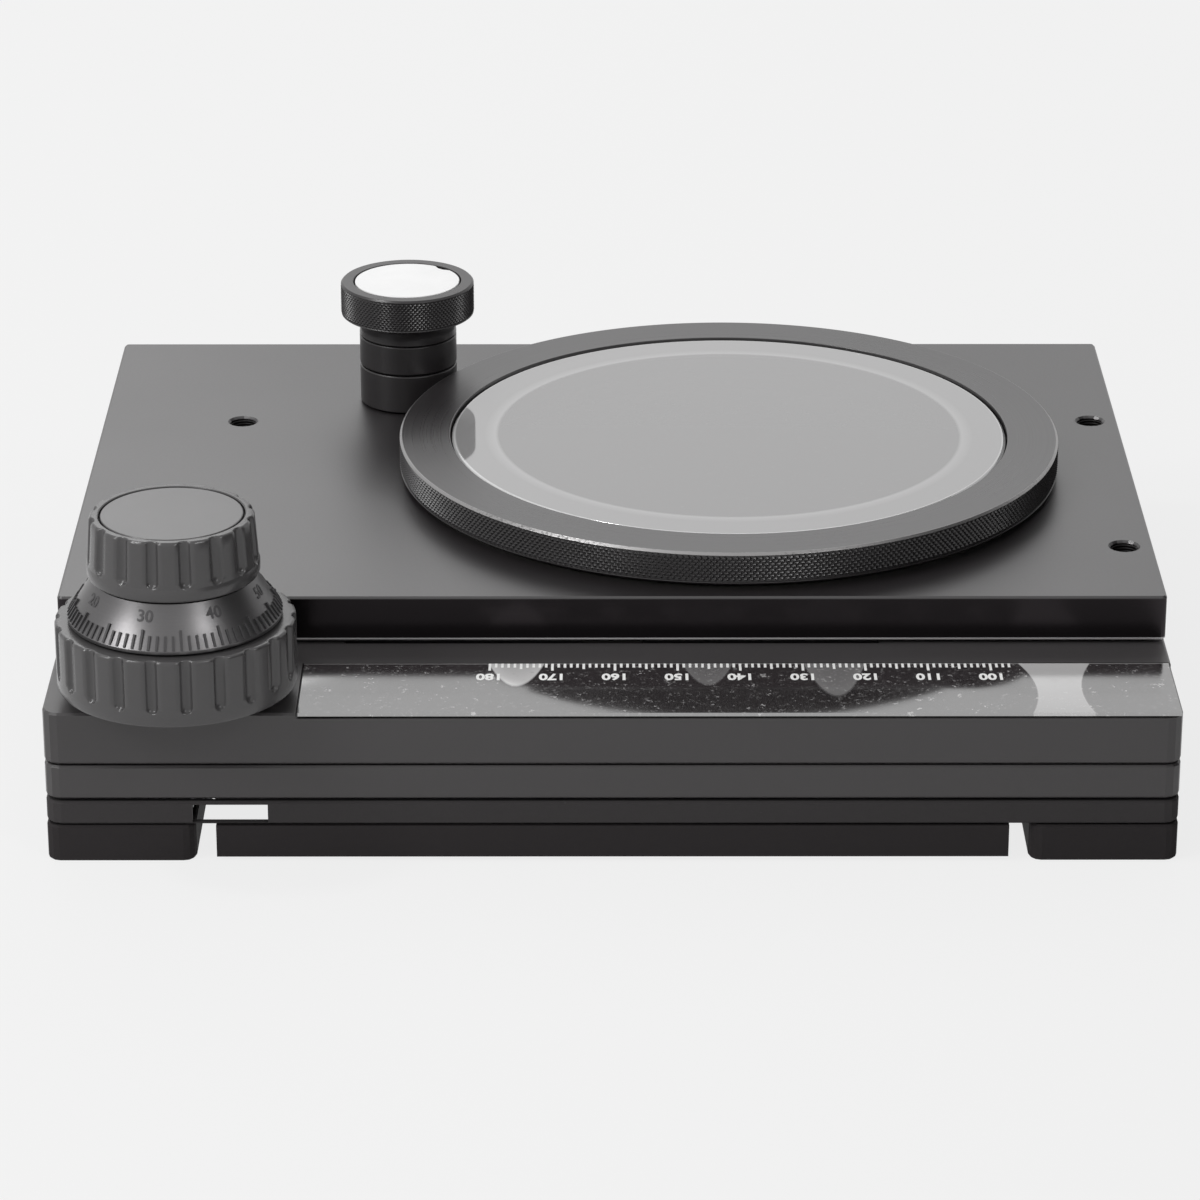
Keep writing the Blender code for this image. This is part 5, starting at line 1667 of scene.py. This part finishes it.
@dataclass
class Studio:
    """Pale floor, even world, soft lamps and the photograph's camera."""

    pale: Colour = (0.885, 0.885, 0.885)
    floor_half: float = 6.0
    shadow_share: float = 0.09
    world_strength: float = 0.6
    card_x: float = 0.3
    card_front: float = -0.5
    card_back: float = 0.1
    card_foot: float = 0.001
    card_top: float = 0.4
    lens: float = 143.054
    sensor: float = 36.0
    camera_reach: float = 50.0
    camera_place: Place = (-0.00293, -0.75484, 0.33034)
    pitch: float = 0.394503
    yaw: float = 0.001328
    lamps: tuple[SoftBox, ...] = (
        SoftBox("rear softbox", (-0.46, 1.15, 0.62), 0.66, 0.5, 0.75),
        SoftBox("high softbox", (-0.08, 1.0, 0.9), 0.8, 0.6, 2.5, ("scale_strip",)),
        SoftBox("left softbox", (-0.95, -0.55, 0.85), 0.36, 0.4, 5.4),
        SoftBox("right softbox", (0.7, -0.85, 0.85), 0.26, 0.32, 3.6),
        SoftBox("key lamp", (-0.52, -0.08, 0.95), 0.13, 0.13, 2.4))

    def build(self) -> None:
        """Build the whole set."""
        scene = bpy.context.scene
        scene.view_settings.view_transform = "Standard"
        self.build_camera(scene)
        self.build_world(scene)
        self.build_floor()
        self.build_card()
        for lamp in self.lamps:
            lamp.build()

    def build_camera(self, scene: bpy.types.Scene) -> None:
        """Add the camera that was fitted to the photograph.

        Args:
            scene: The scene that it looks at.
        """
        data = bpy.data.cameras.new("camera")
        data.lens = self.lens
        data.sensor_width = self.sensor
        data.sensor_fit = "HORIZONTAL"
        data.clip_end = self.camera_reach
        made = bpy.data.objects.new("camera", data)
        made.location = self.camera_place
        made.rotation_euler = (math.pi / 2 - self.pitch, 0.0, -self.yaw)
        scene.collection.objects.link(made)
        scene.camera = made

    def direct(self, graph: Graph) -> Signal:
        """Give 1 where the camera, a gloss or a clear piece looks straight at a surface.

        Args:
            graph: The tree that asks.

        Returns:
            The share, 0 or 1.
        """
        rays = graph.node("ShaderNodeLightPath", out="Is Camera Ray")
        return rays.maths("MAXIMUM", rays.also("Is Glossy Ray")).maths(
            "MAXIMUM", rays.also("Is Transmission Ray"))

    def build_world(self, scene: bpy.types.Scene) -> None:
        """Light the set evenly, and show the pale backdrop to direct looks.

        Args:
            scene: The scene that it lights.
        """
        world = bpy.data.worlds.new("studio")
        world.use_nodes = True
        graph = Graph(world.node_tree)
        sky = world.node_tree.nodes["Background"]
        graph.feed(sky.inputs["Color"], full(self.pale))
        strength = self.direct(graph) * (1.0 - self.world_strength) + self.world_strength
        graph.feed(sky.inputs["Strength"], strength)
        scene.world = world

    def sheet(self, name: str, corners: Sequence[Place]) -> bpy.types.Object:
        """Make a flat sheet of the set from its corners, in order.

        Args:
            name: The sheet's name.
            corners: Its corners, in order.

        Returns:
            The sheet.
        """
        bm = bmesh.new()
        bm.faces.new([bm.verts.new(corner) for corner in corners])
        return linked(name, bm, smooth=False)

    def build_card(self) -> None:
        """Stand a black card on the right, outside the picture."""
        x, front, back = self.card_x, self.card_front, self.card_back
        foot, top = self.card_foot, self.card_top
        card = self.sheet("black_card", ((x, front, foot), (x, back, foot), (x, back, top),
                                         (x, front, top)))
        card.visible_camera = False
        coated(card, BLACK_FELT)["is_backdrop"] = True

    def build_floor(self) -> None:
        """Add the floor, which keeps part of the object's shadow."""
        half = self.floor_half
        floor = self.sheet("floor", ((-half, -half, 0.0), (half, -half, 0.0), (half, half, 0.0),
                                     (-half, half, 0.0)))
        paper = bpy.data.materials.new("pale paper")
        surface = Surface(paper)
        surface.give({"Base Color": full(self.pale), "Roughness": 0.9})
        surface.bump(surface.noise(surface.place(), 300.0), 0.05 * MM, 0.1)
        glow = surface.node("ShaderNodeEmission", {"Color": full(self.pale), "Strength": 1.0})
        mixed = surface.node("ShaderNodeMixShader", {
            0: self.direct(surface) * (1.0 - self.shadow_share),
            1: Signal(surface, surface.shader.outputs[0]), 2: glow})
        surface.feed(paper.node_tree.nodes["Material Output"].inputs["Surface"], mixed)
        floor.data.materials.append(paper)
        floor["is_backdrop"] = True


def corners(bounds: tuple[Vector, Vector]) -> list[list[float]]:
    """Give a box's two corners as plain lists of numbers."""
    return [[float(value) for value in corner] for corner in bounds]


def main() -> None:
    """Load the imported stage, dress it and set the studio up."""
    logging.basicConfig(level=logging.INFO, format="%(name)s: %(message)s")
    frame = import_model()
    packed = corners(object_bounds())
    Studio().build()
    CarriedNodes(frame).build()
    for assembly in (CoaxialKnobs(), SpecimenRing(), ClampPost(), LedgeScale(), ClipHoles(),
                     FootScrews()):
        assembly.build()
    {"cad": packed, "visual": corners(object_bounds())}


if __name__ == "__main__":
    main()
